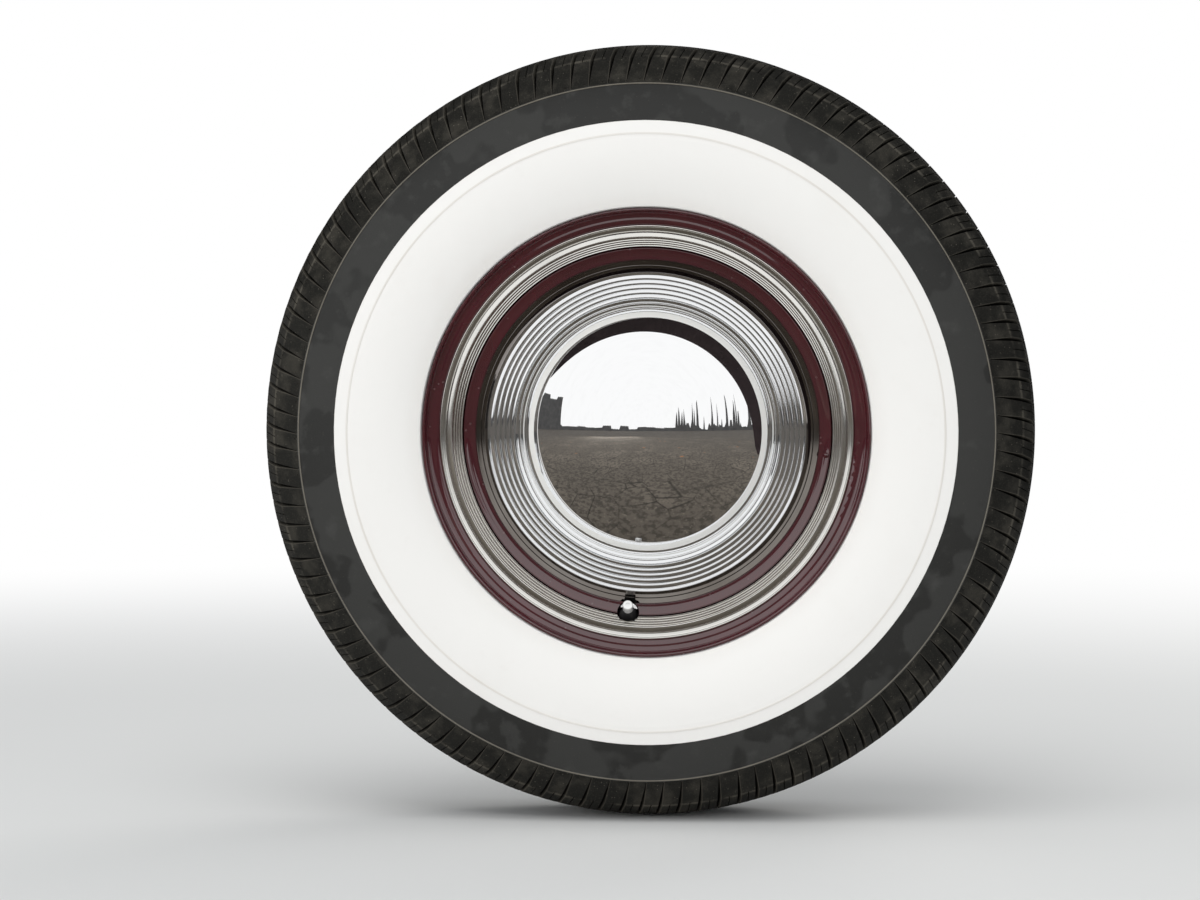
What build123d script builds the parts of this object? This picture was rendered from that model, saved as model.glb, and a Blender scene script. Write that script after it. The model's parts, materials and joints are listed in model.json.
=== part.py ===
from build123d import *
from math import asin, atan, cos, radians, sin, sqrt, tan
import os

# Left front wheel of a classic car, with the hub, brake drum and steering knuckle that carry it.
# Millimetres. X points to the rear of the car, Y inboard, Z up. The wheel turns about the Y axis.
# The origin is the middle of the kingpin bore, where the kingpin crosses the spin axis.
# Section points are (reach, radius): reach is measured outboard from the wheel's centre plane.

# Wheel position and kingpin
wheel_offset = 120.0
kingpin_tilt = 8.0
running_gap = 5.0

# Tyre, 7.00-16 crossply
tyre_radius = 382.5
tyre_half_width = 92.5
widest_share = 0.412
tread_half_width = 62.0
crown_inset = 14.0
crown_drop = 4.2
rib_edge_drop = 2.5
shoulder_drop = 14.0
seam_drop = 42.0
seam_inset = 8.0
foot_rise = 1.6
foot_overlap = 2.0
bead_width = 21.5
bead_height = 12.0
bead_lean = 6.0
side_wall = 8.0
side_wall_growth = 2.2
casing_crown_wall = 8.0
casing_shoulder_wall = 8.5
tyre_fit = 0.2

# Tread: three plain grooves round the crown, and a V groove to each pitch over either shoulder
tread_crown_depth = 12.0
tread_shoulder_depth = 14.5
crown_groove_width = 6.0
crown_groove_depth = 7.0
crown_groove_spacing = 34.0
pitch_lengths = (0.95, 1.0, 1.05, 1.0, 1.06, 0.94)
pitch_sets = 20
first_slot_turn = 90.0
slot_floor_drop = 4.0
slot_height = 16.0
slot_half_angle = 12.0
slot_seam_shift = 0.1
slot_crown_shift = -0.6

# White sidewall ring
white_gap = 0.8
white_rise = 17.5
white_depth = 1.8
pin_stripe_inset = 12.5
pin_stripe_width = 1.4
pin_stripe_height = 0.5

# Rim, 5 x 16 drop centre
rim_half_width = 63.5
seat_radius = 202.8
seat_drop = 2.4
seat_width = 28.5
flange_width = 12.5
flange_height = 17.3
flange_curl = 9.5
seat_corner = 6.5
rim_wall = 3.2
well_depth = 19.3
well_slope_run = 8.0
well_width = 35.0
well_inner_rise = 12.0
well_corner = 5.0
lip_round = 1.4

# Pressed wheel disc
disc_wall = 4.0
disc_setback = 28.0
disc_shoulder = 9.0
disc_face_width = 21.3
disc_bend = 7.0
disc_skirt_inset = 4.0
mount_reach = 8.0
bolt_circle = 139.7
bolt_count = 5
bolt_face_margin = 34.15
bolt_shank_radius = 7.0
bolt_fit = 0.4
bolt_flats = 22.0
bolt_head = 11.0
bolt_chamfer = 1.5
bolt_point = 4.0
pilot_radius = 50.0
pilot_fit = 0.5

# Trim ring between rim and disc, 0.9 mm stainless
ring_wall = 0.9
ring_overlap = 0.8
ring_lift = 1.15
ring_bead_radius = 1.2
ring_bead_back = 0.7
ring_groove_width = 4.0
ring_groove_drop = 0.8
ring_groove_slope = 0.5
ring_back = 1.9
ring_band_width = 7.2
ring_band_rise = 1.6
ring_band_drop = 4.0
ring_flat_width = 4.4
ring_flat_drop = 6.5
ring_step_count = 3
ring_step_drop = 2.6
ring_tread_drop = 0.78
ring_slot = 1.7

# Ribbed hub cap
cap_wall = 1.2
cap_margin = 1.8
cap_seat_fit = 0.3
cap_skirt_height = 1.0
cap_stand = 9.8
cap_line_inset = 5.9
cap_line_rise = 5.2
cap_line_half = 0.3
cap_line_depth = 0.7
cap_band_width = 9.0
cap_band_fall = 3.2
cap_riser_width = 2.4
rib_count = 5
rib_pitch = 4.72
rib_drop = 2.9
rib_lean = 0.7
rib_crown = 0.25
riser_width = 1.3
cap_bead_inset = 3.8
cap_bead_half = 1.0
cap_bead_drop = 1.8
cap_groove_inset = 2.1
cap_groove_corner = 3.6
cap_floor_drop = 5.9
cap_floor_width = 15.1

# Polished dome on the hub cap's floor
dome_gap = 4.6
dome_edge = 0.8
dome_height = 41.5

# Tyre valve in the well's outboard slope
valve_angle = -96.0
valve_inset = 2.95
valve_hole_radius = 8.0
valve_fit = 0.15
valve_foot = 3.0
valve_collar_radius = 9.3
valve_collar = 12.0
valve_neck_radius = 5.6
valve_hollow = 0.6
valve_hollow_inset = 2.0
valve_stem_length = 30.0
valve_cap_radius = 5.0
valve_cap_length = 11.0
valve_cap_round = 1.2
valve_dimple_radius = 2.25
valve_pocket = 1.6

# Brake drum, 12 inch
drum_clearance = 13.3
drum_wall = 7.0
drum_face = 6.0
drum_depth = 62.0
drum_rib_count = 4
drum_rib_width = 4.0
drum_rib_height = 3.6
drum_corner = 8.0

# Hub
hub_flange_margin = 18.15
hub_flange = 8.0
hub_barrel_radius = 38.0
hub_end_chamfer = 4.0
hub_root = 6.0
nose_radius = 34.0
nose_length = 29.0
nose_taper = 3.0
pilot_step = 4.0
pilot_stand = 9.0
hub_cavity_radius = 29.0
bearing_wall = 6.0
bearing_fit = 0.05

# Spindle
inner_journal_radius = 22.0
inner_journal_length = 29.0
outer_journal_radius = 14.0
outer_journal_start = 12.0
outer_journal_length = 22.0
spindle_neck = 3.0
spindle_taper = 4.0
spindle_thread = 6.0
spindle_point = 1.5
spindle_root_radius = 28.0
spindle_root_length = 4.0

# Steering knuckle, forged
flange_thick = 12.0
flange_radius = 66.0
yoke_half_height = 65.0
yoke_gap = 66.0
boss_radius = 21.0
web_half_width = 18.0
web_depth = 58.0
web_gap_depth = 24.0
web_corner = 12.0
gap_corner = 9.0
forging_round = 4.0
kingpin_bore_radius = 10.3

# Backing plate, pressed steel
plate_wall = 3.0
plate_hole_margin = 4.0
plate_centre_margin = 8.0
plate_step = 6.0
plate_margin = 5.6
plate_curl = 5.0
plate_bend = 2.5
plate_ring_radius = 116.0
plate_ring_half = 18.0
plate_ring_rise = 4.0
plate_ring_slope = 5.0

# Steering arm and its eye
arm_palm = 9.0
arm_palm_margin = 6.0
arm_root_inset = 8.0
arm_root_height = 64.0
arm_waist_width = 13.0
arm_waist_height = 30.0
arm_waist_back = 13.0
arm_end_width = 15.0
arm_end_height = 17.0
arm_end_inset = 6.0
arm_eye_x = 155.0
arm_eye_y = 16.0
arm_eye_z = -22.0
arm_eye_radius = 17.0
arm_eye_height = 20.0
arm_bore_radius = 8.0

# Bolts of the plate
plate_bolt_margin = 12.0
plate_bolt_count = 4
plate_bolt_shank = 5.0
plate_bolt_flats = 17.0
plate_bolt_head = 7.0
plate_bolt_fit = 0.3
plate_bolt_seat = 11.5

os.makedirs("parts", exist_ok=True)

RUBBER = (0.06, 0.06, 0.065)
WHITE = (0.86, 0.85, 0.82)
MAROON = (0.25, 0.02, 0.04)
BRIGHT = (0.8, 0.8, 0.82)
IRON = (0.2, 0.2, 0.21)
STEEL = (0.3, 0.3, 0.32)

# Section plane through the spin axis: local x is the reach, local y the radius
SECTION = Plane(origin=(0, -wheel_offset, 0), x_dir=(0, -1, 0), z_dir=(-1, 0, 0))


def face_plane(reach):
    """Plane square to the spin axis at a reach, looking outboard."""
    return Plane(origin=(0, -wheel_offset - reach, 0), x_dir=(1, 0, 0), z_dir=(0, -1, 0))


def wheel_point(reach, radius, turn):
    """Point on the wheel, its turn in degrees from the rear towards the top."""
    return Vector(radius * cos(radians(turn)), -wheel_offset - reach, radius * sin(radians(turn)))


def finish(piece, label, colour):
    piece.part.label = label
    piece.part.color = Color(*colour)
    export_step(piece.part, f"parts/{label}.step")


# Rim: one rolled strip, traced along its tyre side and thickened towards the axle
lip_reach = rim_half_width + flange_width
lip_radius = seat_radius + flange_height
slope_top = seat_radius - seat_drop
well_radius = seat_radius - well_depth
seat_end = rim_half_width - seat_width
well_start = seat_end - well_slope_run
well_end = well_start - well_width
rim_line = (
    (lip_reach, lip_radius),
    (rim_half_width, lip_radius),
    (rim_half_width, seat_radius),
    (seat_end, slope_top),
    (well_start, well_radius),
    (well_end, well_radius),
    (well_end - well_inner_rise, slope_top),
    (-seat_end, slope_top),
    (-rim_half_width, seat_radius),
    (-rim_half_width, lip_radius),
    (-lip_reach, lip_radius),
)
rim_bends = (flange_curl, seat_corner) + (well_corner,) * 5 + (seat_corner, flange_curl)

# The valve stands square on the well's outboard slope
well_slope = atan(well_slope_run / (slope_top - well_radius))
valve_radius = (slope_top + well_radius) / 2 - valve_inset
valve_slope_reach = well_start + (valve_radius - well_radius) * tan(well_slope)
valve_turn = radians(valve_angle)
VALVE = Plane(
    origin=wheel_point(
        valve_slope_reach + rim_wall * cos(well_slope),
        valve_radius - rim_wall * sin(well_slope),
        valve_angle,
    ),
    x_dir=(-sin(valve_turn), 0, cos(valve_turn)),
    z_dir=(-sin(well_slope) * cos(valve_turn), -cos(well_slope), -sin(well_slope) * sin(valve_turn)),
)

with BuildPart(mode=Mode.PRIVATE) as valve_tunnel:
    with BuildSketch(VALVE.offset(-4 * rim_wall)):
        Circle(valve_collar_radius + valve_pocket)
    extrude(amount=8 * rim_wall + valve_stem_length)

with BuildPart() as rim:
    with BuildSketch(SECTION):
        with BuildLine():
            FilletPolyline(*rim_line, radius=rim_bends)
            offset(amount=rim_wall, side=Side.LEFT)
        make_face()
    revolve(axis=Axis.Y)
    lips = rim.edges().filter_by(GeomType.CIRCLE).sort_by(Axis.Y)
    fillet(lips[:2] + lips[-2:], lip_round)
    with BuildSketch(VALVE.offset(-3 * rim_wall)):
        Circle(valve_hole_radius)
    extrude(amount=5 * rim_wall, mode=Mode.SUBTRACT)
finish(rim, "rim", MAROON)

# Tyre's outline, from the foot beside the rim's lip, square at the widest point, to seam, shoulder and crown
heel_reach = rim_half_width - tyre_fit
curl_reach = rim_half_width + flange_curl
curl_radius = lip_radius - flange_curl
curl_bow = (flange_curl + tyre_fit) * sqrt(0.5)
seat_gap = seat_radius + tyre_fit
bead_reach = rim_half_width - bead_width
toe_radius = seat_gap - seat_drop * bead_width / seat_width
foot = (lip_reach + foot_overlap, lip_radius + foot_rise)
widest_radius = lip_radius + widest_share * (tyre_radius - lip_radius)
widest = (tyre_half_width, widest_radius)
seam = (tyre_half_width - seam_inset, tyre_radius - seam_drop)
shoulder = (tread_half_width, tyre_radius - shoulder_drop)
crown_edge = (tread_half_width - crown_inset, tyre_radius - crown_drop)


def bow_radius(point):
    """Radius of the sidewall's arc that leaves the widest point square and passes the given point."""
    across = tyre_half_width - point[0]
    return (across**2 + (point[1] - widest_radius) ** 2) / (2 * across)


def sidewall_reach(radius, inset=0.0):
    """Reach of the sidewall's outer face at a radius, or of the face inset below it."""
    bow = bow_radius(foot if radius < widest_radius else seam)
    return tyre_half_width - bow + sqrt((bow - inset) ** 2 - (radius - widest_radius) ** 2)


white_inner = foot[1] + white_gap
white_outer = widest_radius + white_rise
pin_stripe_radius = white_outer - pin_stripe_inset

with BuildPart() as white_band:
    with BuildSketch(SECTION):
        with BuildLine():
            low_out = (sidewall_reach(white_inner), white_inner)
            low_in = (sidewall_reach(white_inner, white_depth), white_inner)
            high_out = (sidewall_reach(white_outer), white_outer)
            high_in = (sidewall_reach(white_outer, white_depth), white_outer)
            back = (tyre_half_width - white_depth, widest_radius)
            Line(low_in, low_out)
            TangentArc(widest, low_out, tangent=(0, -1))
            TangentArc(widest, high_out, tangent=(0, 1))
            Line(high_out, high_in)
            TangentArc(back, high_in, tangent=(0, 1))
            TangentArc(back, low_in, tangent=(0, -1))
        make_face()
    revolve(axis=Axis.Y)

with BuildPart() as whitewall:
    add(white_band.part)
    with BuildSketch(SECTION):
        with Locations((sidewall_reach(pin_stripe_radius), pin_stripe_radius)):
            Rectangle(2 * pin_stripe_height, pin_stripe_width)
    revolve(axis=Axis.Y)
finish(whitewall, "whitewall", WHITE)

# A shoulder groove: a V whose floor runs straight from the seam, deep under the shoulder, to the crown
rib_edge = (crown_groove_spacing + crown_groove_width / 2, tyre_radius - rib_edge_drop)
pitch_turn = 360 / (pitch_sets * sum(pitch_lengths))
slot_start = wheel_point(*seam, first_slot_turn + slot_seam_shift * pitch_turn)
slot_end_turn = first_slot_turn + slot_crown_shift * pitch_turn
slot_end = wheel_point(rib_edge[0], rib_edge[1] - slot_floor_drop, slot_end_turn)
slot_run = slot_end - slot_start
slot_half_width = slot_height * tan(radians(slot_half_angle))

with BuildPart(mode=Mode.PRIVATE) as outboard_slot:
    with BuildSketch(Plane(origin=slot_start, x_dir=Vector(0, -1, 1).cross(slot_run), z_dir=slot_run)):
        with BuildLine():
            Polyline((0, 0), (slot_half_width, slot_height), (-slot_half_width, slot_height), close=True)
        make_face()
    extrude(amount=slot_run.length)

# The inboard groove is the outboard one turned over, so the pattern reads the same from either side
inboard_slot = outboard_slot.part.rotate(Axis((0, -wheel_offset, 0), (0, 0, 1)), 180)
slot_turns = [
    pitch_turn * (lap * sum(pitch_lengths) + sum(pitch_lengths[:place]))
    for lap in range(pitch_sets)
    for place in range(len(pitch_lengths))
]

# Tread band: it lies on the casing from seam to seam
base_shoulder = (tread_half_width, shoulder[1] - tread_shoulder_depth)
base_crown = (0, tyre_radius - tread_crown_depth)

with BuildPart() as tyre_tread:
    with BuildSketch(SECTION):
        with BuildLine():
            for side in (1, -1):
                outline = (base_shoulder, seam, shoulder, crown_edge, rib_edge)
                Polyline(*[(side * reach, radius) for reach, radius in outline])
            ThreePointArc((-rib_edge[0], rib_edge[1]), (0, tyre_radius), rib_edge)
            ThreePointArc((-base_shoulder[0], base_shoulder[1]), base_crown, base_shoulder)
        make_face()
        with GridLocations(crown_groove_spacing, 0, 3, 1):
            with Locations((0, tyre_radius)):
                Rectangle(crown_groove_width, 2 * crown_groove_depth, mode=Mode.SUBTRACT)
    revolve(axis=Axis.Y)
    add(
        [slot.rotate(Axis.Y, -turn) for slot in (outboard_slot.part, inboard_slot) for turn in slot_turns],
        mode=Mode.SUBTRACT,
    )
finish(tyre_tread, "tyre_tread", RUBBER)

# Casing: hollow, bead to bead round the rim
with BuildPart() as tyre:
    with BuildSketch(SECTION):
        with BuildLine():
            for side in (1, -1):
                bead_top = (side * (bead_reach + bead_lean), toe_radius + bead_height)
                inner_widest = (side * (tyre_half_width - side_wall), widest_radius)
                inner_shoulder = (side * tread_half_width, base_shoulder[1] - casing_shoulder_wall)
                side_foot = (side * foot[0], foot[1])
                side_widest = (side * tyre_half_width, widest_radius)
                side_seam = (side * seam[0], seam[1])
                FilletPolyline(
                    (side * bead_reach, toe_radius),
                    (side * heel_reach, seat_gap),
                    (side * heel_reach, curl_radius),
                    radius=seat_corner - tyre_fit,
                )
                ThreePointArc(
                    (side * heel_reach, curl_radius),
                    (side * (curl_reach - curl_bow), curl_radius + curl_bow),
                    (side * curl_reach, lip_radius + tyre_fit),
                )
                Line((side * curl_reach, lip_radius + tyre_fit), side_foot)
                TangentArc(side_widest, side_foot, tangent=(0, -1))
                TangentArc(side_widest, side_seam, tangent=(0, 1))
                Line(side_seam, (side * base_shoulder[0], base_shoulder[1]))
                Line((side * bead_reach, toe_radius), bead_top)
                ThreePointArc(
                    bead_top,
                    (
                        side * (tyre_half_width - side_wall_growth * side_wall),
                        (bead_top[1] + widest_radius) / 2,
                    ),
                    inner_widest,
                )
                TangentArc(inner_widest, inner_shoulder, tangent=(0, 1))
            ThreePointArc((-base_shoulder[0], base_shoulder[1]), base_crown, base_shoulder)
            ThreePointArc(
                (-tread_half_width, inner_shoulder[1]),
                (0, base_crown[1] - casing_crown_wall),
                (tread_half_width, inner_shoulder[1]),
            )
        make_face()
    revolve(axis=Axis.Y)
    add(white_band.part, mode=Mode.SUBTRACT)
finish(tyre, "tyre", RUBBER)

# Wheel disc: welded into the well, its face under the hub cap, dished back to the mounting face
disc_radius = well_radius - rim_wall
disc_face_reach = lip_reach - disc_setback
disc_face_inner = disc_radius - disc_shoulder - disc_face_width
bolt_face_reach = mount_reach + disc_wall
disc_line = (
    (well_end + disc_skirt_inset, disc_radius),
    (disc_face_reach, disc_radius),
    (disc_face_reach, disc_face_inner),
    (bolt_face_reach, bolt_circle / 2 + bolt_face_margin),
    (bolt_face_reach, pilot_radius + pilot_fit),
)

with BuildPart(mode=Mode.PRIVATE) as bolt_tunnels:
    with BuildSketch(face_plane(bolt_face_reach)):
        with PolarLocations(bolt_circle / 2, bolt_count, start_angle=90):
            Circle(bolt_shank_radius + bolt_fit)
    extrude(amount=-disc_wall - drum_face - hub_flange)

with BuildPart() as wheel_disc:
    with BuildSketch(SECTION):
        with BuildLine():
            FilletPolyline(*disc_line, radius=(disc_shoulder, disc_bend, disc_bend))
            offset(amount=disc_wall, side=Side.RIGHT)
        make_face()
    revolve(axis=Axis.Y)
    add(bolt_tunnels.part, mode=Mode.SUBTRACT)
    add(valve_tunnel.part, mode=Mode.SUBTRACT)
finish(wheel_disc, "wheel_disc", MAROON)

# Trim ring: it rests on the bend between the rim's flange and seat, and ends just over the disc's skirt
ring_outer = seat_radius + ring_overlap
ring_bend = seat_corner + rim_wall
ring_rest = sqrt(ring_bend**2 - (seat_radius + seat_corner - ring_outer) ** 2)
ring_reach = rim_half_width - seat_corner + ring_rest + ring_lift
bead_in = ring_outer - 2 * ring_bead_radius
groove_in = bead_in - ring_groove_width
band_inner = groove_in - ring_band_width
band_foot_reach = ring_reach - ring_band_drop
flat_inner = band_inner - ring_flat_width
flat_reach = band_foot_reach - ring_flat_drop
step_width = (flat_inner - disc_radius - ring_slot) / ring_step_count
ring_steps = [(flat_reach, flat_inner)]
for step in range(ring_step_count):
    reach, radius = ring_steps[-1]
    ring_steps.append((reach - ring_tread_drop, radius - step_width))
    ring_steps.append((reach - ring_step_drop, radius - step_width))

# Bead, groove, a broad convex band, a plain slope and fine steps at its inner edge
with BuildPart() as trim_ring:
    with BuildSketch(SECTION):
        with BuildLine():
            ThreePointArc(
                (ring_reach, ring_outer),
                (ring_reach + ring_bead_radius, ring_outer - ring_bead_radius),
                (ring_reach, bead_in),
            )
            Polyline(
                (ring_reach, bead_in),
                (ring_reach - ring_groove_drop, bead_in - ring_groove_slope),
                (ring_reach - ring_groove_drop, groove_in + ring_groove_slope),
                (ring_reach, groove_in),
            )
            ThreePointArc(
                (ring_reach, groove_in),
                (ring_reach + ring_band_rise, groove_in - ring_band_width / 3),
                (band_foot_reach, band_inner),
            )
            Polyline(
                (band_foot_reach, band_inner),
                *ring_steps,
                (ring_steps[-1][0], ring_steps[-1][1] + ring_wall),
                (flat_reach - ring_wall / 2, flat_inner + ring_wall),
                (band_foot_reach - ring_wall, band_inner + ring_wall / 2),
                (ring_reach - ring_back, groove_in),
                (ring_reach - ring_back, bead_in),
                (ring_reach - ring_bead_back, ring_outer),
                (ring_reach, ring_outer),
            )
        make_face()
    revolve(axis=Axis.Y)
    add(valve_tunnel.part, mode=Mode.SUBTRACT)
finish(trim_ring, "trim_ring", BRIGHT)

# Hub cap, chained from its edge on the disc inwards: steep band with a line, ribs, bead, groove and floor.
# A rib is a slightly crowned band that leans outwards, with a steep riser at its inner edge.
cap_radius = disc_radius - disc_shoulder - cap_margin
cap_edge_reach = disc_face_reach + cap_seat_fit
cap_skirt_reach = cap_edge_reach + cap_skirt_height
cap_brink_reach = disc_face_reach + cap_stand
cap_line_reach = cap_edge_reach + cap_line_rise
cap_line_radius = cap_radius - cap_line_inset
rib_outer_radius = cap_line_radius - cap_band_width
rib_outer_reach = cap_brink_reach - cap_band_fall
cap_brink_radius = rib_outer_radius + cap_riser_width
valleys = [
    (rib_outer_reach - place * rib_drop, rib_outer_radius - place * rib_pitch)
    for place in range(rib_count + 1)
]
rib_inner_reach, rib_inner_radius = valleys[-1]
cap_bead_radius = rib_inner_radius - cap_bead_inset
cap_bead_reach = rib_inner_reach - cap_bead_drop
groove_radius = cap_bead_radius - cap_groove_inset
floor_reach = rib_inner_reach - cap_floor_drop
floor_inner = groove_radius - cap_floor_width

with BuildPart() as hub_cap:
    with BuildSketch(SECTION):
        with BuildLine():
            Polyline(
                (cap_edge_reach, cap_radius),
                (cap_skirt_reach, cap_radius),
                (cap_line_reach, cap_line_radius + cap_line_half),
                (cap_line_reach - cap_line_depth, cap_line_radius),
                (cap_line_reach, cap_line_radius - cap_line_half),
                (cap_brink_reach, cap_brink_radius),
                valleys[0],
            )
            for near, far in zip(valleys, valleys[1:]):
                brink = (near[0] + rib_lean, far[1] + riser_width)
                crest = ((near[0] + brink[0]) / 2 + rib_crown, (near[1] + brink[1]) / 2)
                ThreePointArc(near, crest, brink)
                Line(brink, far)
            Line(valleys[-1], (cap_bead_reach, cap_bead_radius + cap_bead_half))
            ThreePointArc(
                (cap_bead_reach, cap_bead_radius + cap_bead_half),
                (cap_bead_reach + cap_bead_half, cap_bead_radius),
                (cap_bead_reach, cap_bead_radius - cap_bead_half),
            )
            Polyline(
                (cap_bead_reach, cap_bead_radius - cap_bead_half),
                (floor_reach + cap_groove_corner, groove_radius),
                (floor_reach, groove_radius - cap_groove_corner),
                (floor_reach, floor_inner),
                (floor_reach - cap_wall, floor_inner),
                (floor_reach - cap_wall, groove_radius - cap_groove_corner + cap_wall / 2),
                (cap_bead_reach - cap_wall, cap_bead_radius),
                (rib_inner_reach - cap_wall, rib_inner_radius),
                (rib_outer_reach - cap_wall, rib_outer_radius),
                (cap_brink_reach - cap_wall, cap_brink_radius),
                (cap_line_reach - cap_line_depth - cap_wall, cap_line_radius),
                (cap_skirt_reach, cap_radius - cap_wall),
                (cap_edge_reach, cap_radius - cap_wall),
                (cap_edge_reach, cap_radius),
            )
        make_face()
    revolve(axis=Axis.Y)
finish(hub_cap, "hub_cap", BRIGHT)

# Dome: a plain polished crown with a short square edge
dome_radius = groove_radius - dome_gap
dome_sphere = (dome_radius**2 + dome_height**2) / (2 * dome_height)
dome_centre = floor_reach + dome_edge + dome_height - dome_sphere


def dome_arc(sphere, foot_radius):
    """Foot, middle and apex of a crown arc about the dome's centre."""
    foot_turn = asin(foot_radius / sphere)
    return [(dome_centre + sphere * cos(turn), sphere * sin(turn)) for turn in (foot_turn, foot_turn / 2, 0)]


with BuildPart() as hub_cap_dome:
    outer = dome_arc(dome_sphere, dome_radius)
    inner = dome_arc(dome_sphere - cap_wall, dome_radius - cap_wall)
    with BuildSketch(SECTION):
        with BuildLine():
            ThreePointArc(*outer)
            Line(outer[-1], inner[-1])
            ThreePointArc(*inner)
            Polyline(
                inner[0],
                (floor_reach, dome_radius - cap_wall),
                (floor_reach, dome_radius),
                outer[0],
            )
        make_face()
    revolve(axis=Axis.Y)
finish(hub_cap_dome, "hub_cap_dome", BRIGHT)

# Valve: rubber stem through the rim, hollowed between collar and neck, with a metal cap
valve_shank = valve_hole_radius - valve_fit
collar_foot = 3 * valve_fit

with BuildPart() as valve_stem:
    with BuildSketch(Plane(origin=VALVE.origin, x_dir=VALVE.x_dir, z_dir=-VALVE.y_dir)):
        with BuildLine():
            Polyline(
                (valve_neck_radius, valve_stem_length),
                (0, valve_stem_length),
                (0, -rim_wall - valve_foot),
                (valve_shank, -rim_wall - valve_foot),
                (valve_shank, collar_foot),
                (valve_collar_radius, collar_foot),
                (valve_collar_radius, valve_collar),
            )
            ThreePointArc(
                (valve_collar_radius, valve_collar),
                (
                    (valve_collar_radius + valve_neck_radius) / 2 - valve_hollow,
                    (valve_collar + valve_stem_length) / 2 - valve_hollow_inset,
                ),
                (valve_neck_radius, valve_stem_length),
            )
        make_face()
    revolve(axis=Axis(VALVE.origin, VALVE.z_dir))
finish(valve_stem, "valve_stem", RUBBER)

with BuildPart() as valve_cap:
    with BuildSketch(VALVE.offset(valve_stem_length)):
        Circle(valve_cap_radius)
    extrude(amount=valve_cap_length)
    fillet(valve_cap.faces().sort_by(Axis.Y)[0].edges(), valve_cap_round)
    with BuildSketch(VALVE.offset(valve_stem_length + valve_cap_length)):
        Circle(valve_dimple_radius)
    extrude(amount=-valve_cap_round, mode=Mode.SUBTRACT)
finish(valve_cap, "valve_cap", BRIGHT)

# Brake drum: iron, closed at its outboard face, with cooling ribs round it
drum_radius = disc_radius - disc_wall - drum_clearance - drum_rib_height
drum_bore_radius = drum_radius - drum_wall
drum_edge_reach = mount_reach - drum_depth
rib_spacing = drum_depth / (drum_rib_count + 1)

with BuildPart() as brake_drum:
    with BuildSketch(SECTION):
        with BuildLine():
            FilletPolyline(
                (drum_edge_reach, drum_radius),
                (mount_reach, drum_radius),
                (mount_reach, pilot_radius + pilot_fit),
                radius=drum_corner,
            )
            Polyline(
                (mount_reach, pilot_radius + pilot_fit),
                (mount_reach - drum_face, pilot_radius + pilot_fit),
                (mount_reach - drum_face, drum_bore_radius),
                (drum_edge_reach, drum_bore_radius),
                (drum_edge_reach, drum_radius),
            )
        make_face()
        for rib in range(drum_rib_count):
            with Locations((drum_edge_reach + (rib + 0.5) * rib_spacing, drum_radius)):
                Rectangle(drum_rib_width, 2 * drum_rib_height)
    revolve(axis=Axis.Y)
    add(bolt_tunnels.part, mode=Mode.SUBTRACT)
finish(brake_drum, "brake_drum", IRON)

# What stands inboard of the drum clears its edge by the running gap
plate_reach = drum_edge_reach - running_gap - plate_wall
flange_reach = plate_reach - plate_step
flange_back_reach = flange_reach - flange_thick
inner_journal_end = flange_reach + spindle_root_length + inner_journal_length
outer_journal_end = outer_journal_start + outer_journal_length
spindle_reach = outer_journal_end + spindle_thread

# Hub: flange behind the drum, pilot through drum and disc, bored to run on the spindle
hub_end_reach = flange_reach + plate_wall + running_gap
hub_flange_front = mount_reach - drum_face
hub_flange_back = hub_flange_front - hub_flange
hub_flange_radius = bolt_circle / 2 + hub_flange_margin
pilot_reach = mount_reach + pilot_stand
nose_reach = pilot_reach + nose_length
bearing_radius = outer_journal_radius + bearing_wall

with BuildPart() as hub:
    with BuildSketch(SECTION):
        with BuildLine():
            Polyline(
                (hub_end_reach, inner_journal_radius + bearing_fit),
                (hub_end_reach, hub_barrel_radius - hub_end_chamfer),
                (hub_end_reach + hub_end_chamfer, hub_barrel_radius),
                (hub_flange_back - hub_root, hub_barrel_radius),
                (hub_flange_back, hub_barrel_radius + hub_root),
                (hub_flange_back, hub_flange_radius),
                (hub_flange_front, hub_flange_radius),
                (hub_flange_front, pilot_radius),
                (pilot_reach, pilot_radius),
                (pilot_reach + pilot_step, nose_radius),
                (nose_reach, nose_radius - nose_taper),
                (nose_reach, bearing_radius),
                (outer_journal_end, bearing_radius),
                (outer_journal_end, outer_journal_radius + bearing_fit),
                (outer_journal_start, outer_journal_radius + bearing_fit),
                (outer_journal_start, hub_cavity_radius),
                (inner_journal_end, hub_cavity_radius),
                (inner_journal_end, inner_journal_radius + bearing_fit),
                close=True,
            )
        make_face()
    revolve(axis=Axis.Y)
    add(bolt_tunnels.part, mode=Mode.SUBTRACT)
finish(hub, "hub", IRON)

# Wheel bolts: domed hexagon heads on the disc, shanks through disc, drum and hub flange
with BuildPart() as wheel_bolts:
    with BuildSketch(face_plane(bolt_face_reach)):
        with PolarLocations(bolt_circle / 2, bolt_count, start_angle=90):
            RegularPolygon(bolt_flats / 2, 6, major_radius=False)
    extrude(amount=bolt_head)
    chamfer(wheel_bolts.faces().sort_by(Axis.Y)[0:bolt_count].edges(), bolt_chamfer)
    with BuildSketch(face_plane(bolt_face_reach)):
        with PolarLocations(bolt_circle / 2, bolt_count, start_angle=90):
            Circle(bolt_shank_radius)
    extrude(amount=-disc_wall - drum_face - hub_flange - bolt_point)
finish(wheel_bolts, "wheel_bolts", STEEL)

# Steering knuckle: spindle, flange and a yoke of two ears on the tilted kingpin axis
tilt = radians(kingpin_tilt)
YOKE = Plane(origin=(0, 0, 0), x_dir=(0, cos(tilt), -sin(tilt)), z_dir=(1, 0, 0))
KINGPIN = Plane(origin=(0, 0, 0), x_dir=(1, 0, 0), z_dir=(0, sin(tilt), cos(tilt)))
plate_bolt_radius = flange_radius - plate_bolt_margin
journal_step = outer_journal_start - spindle_taper

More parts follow.
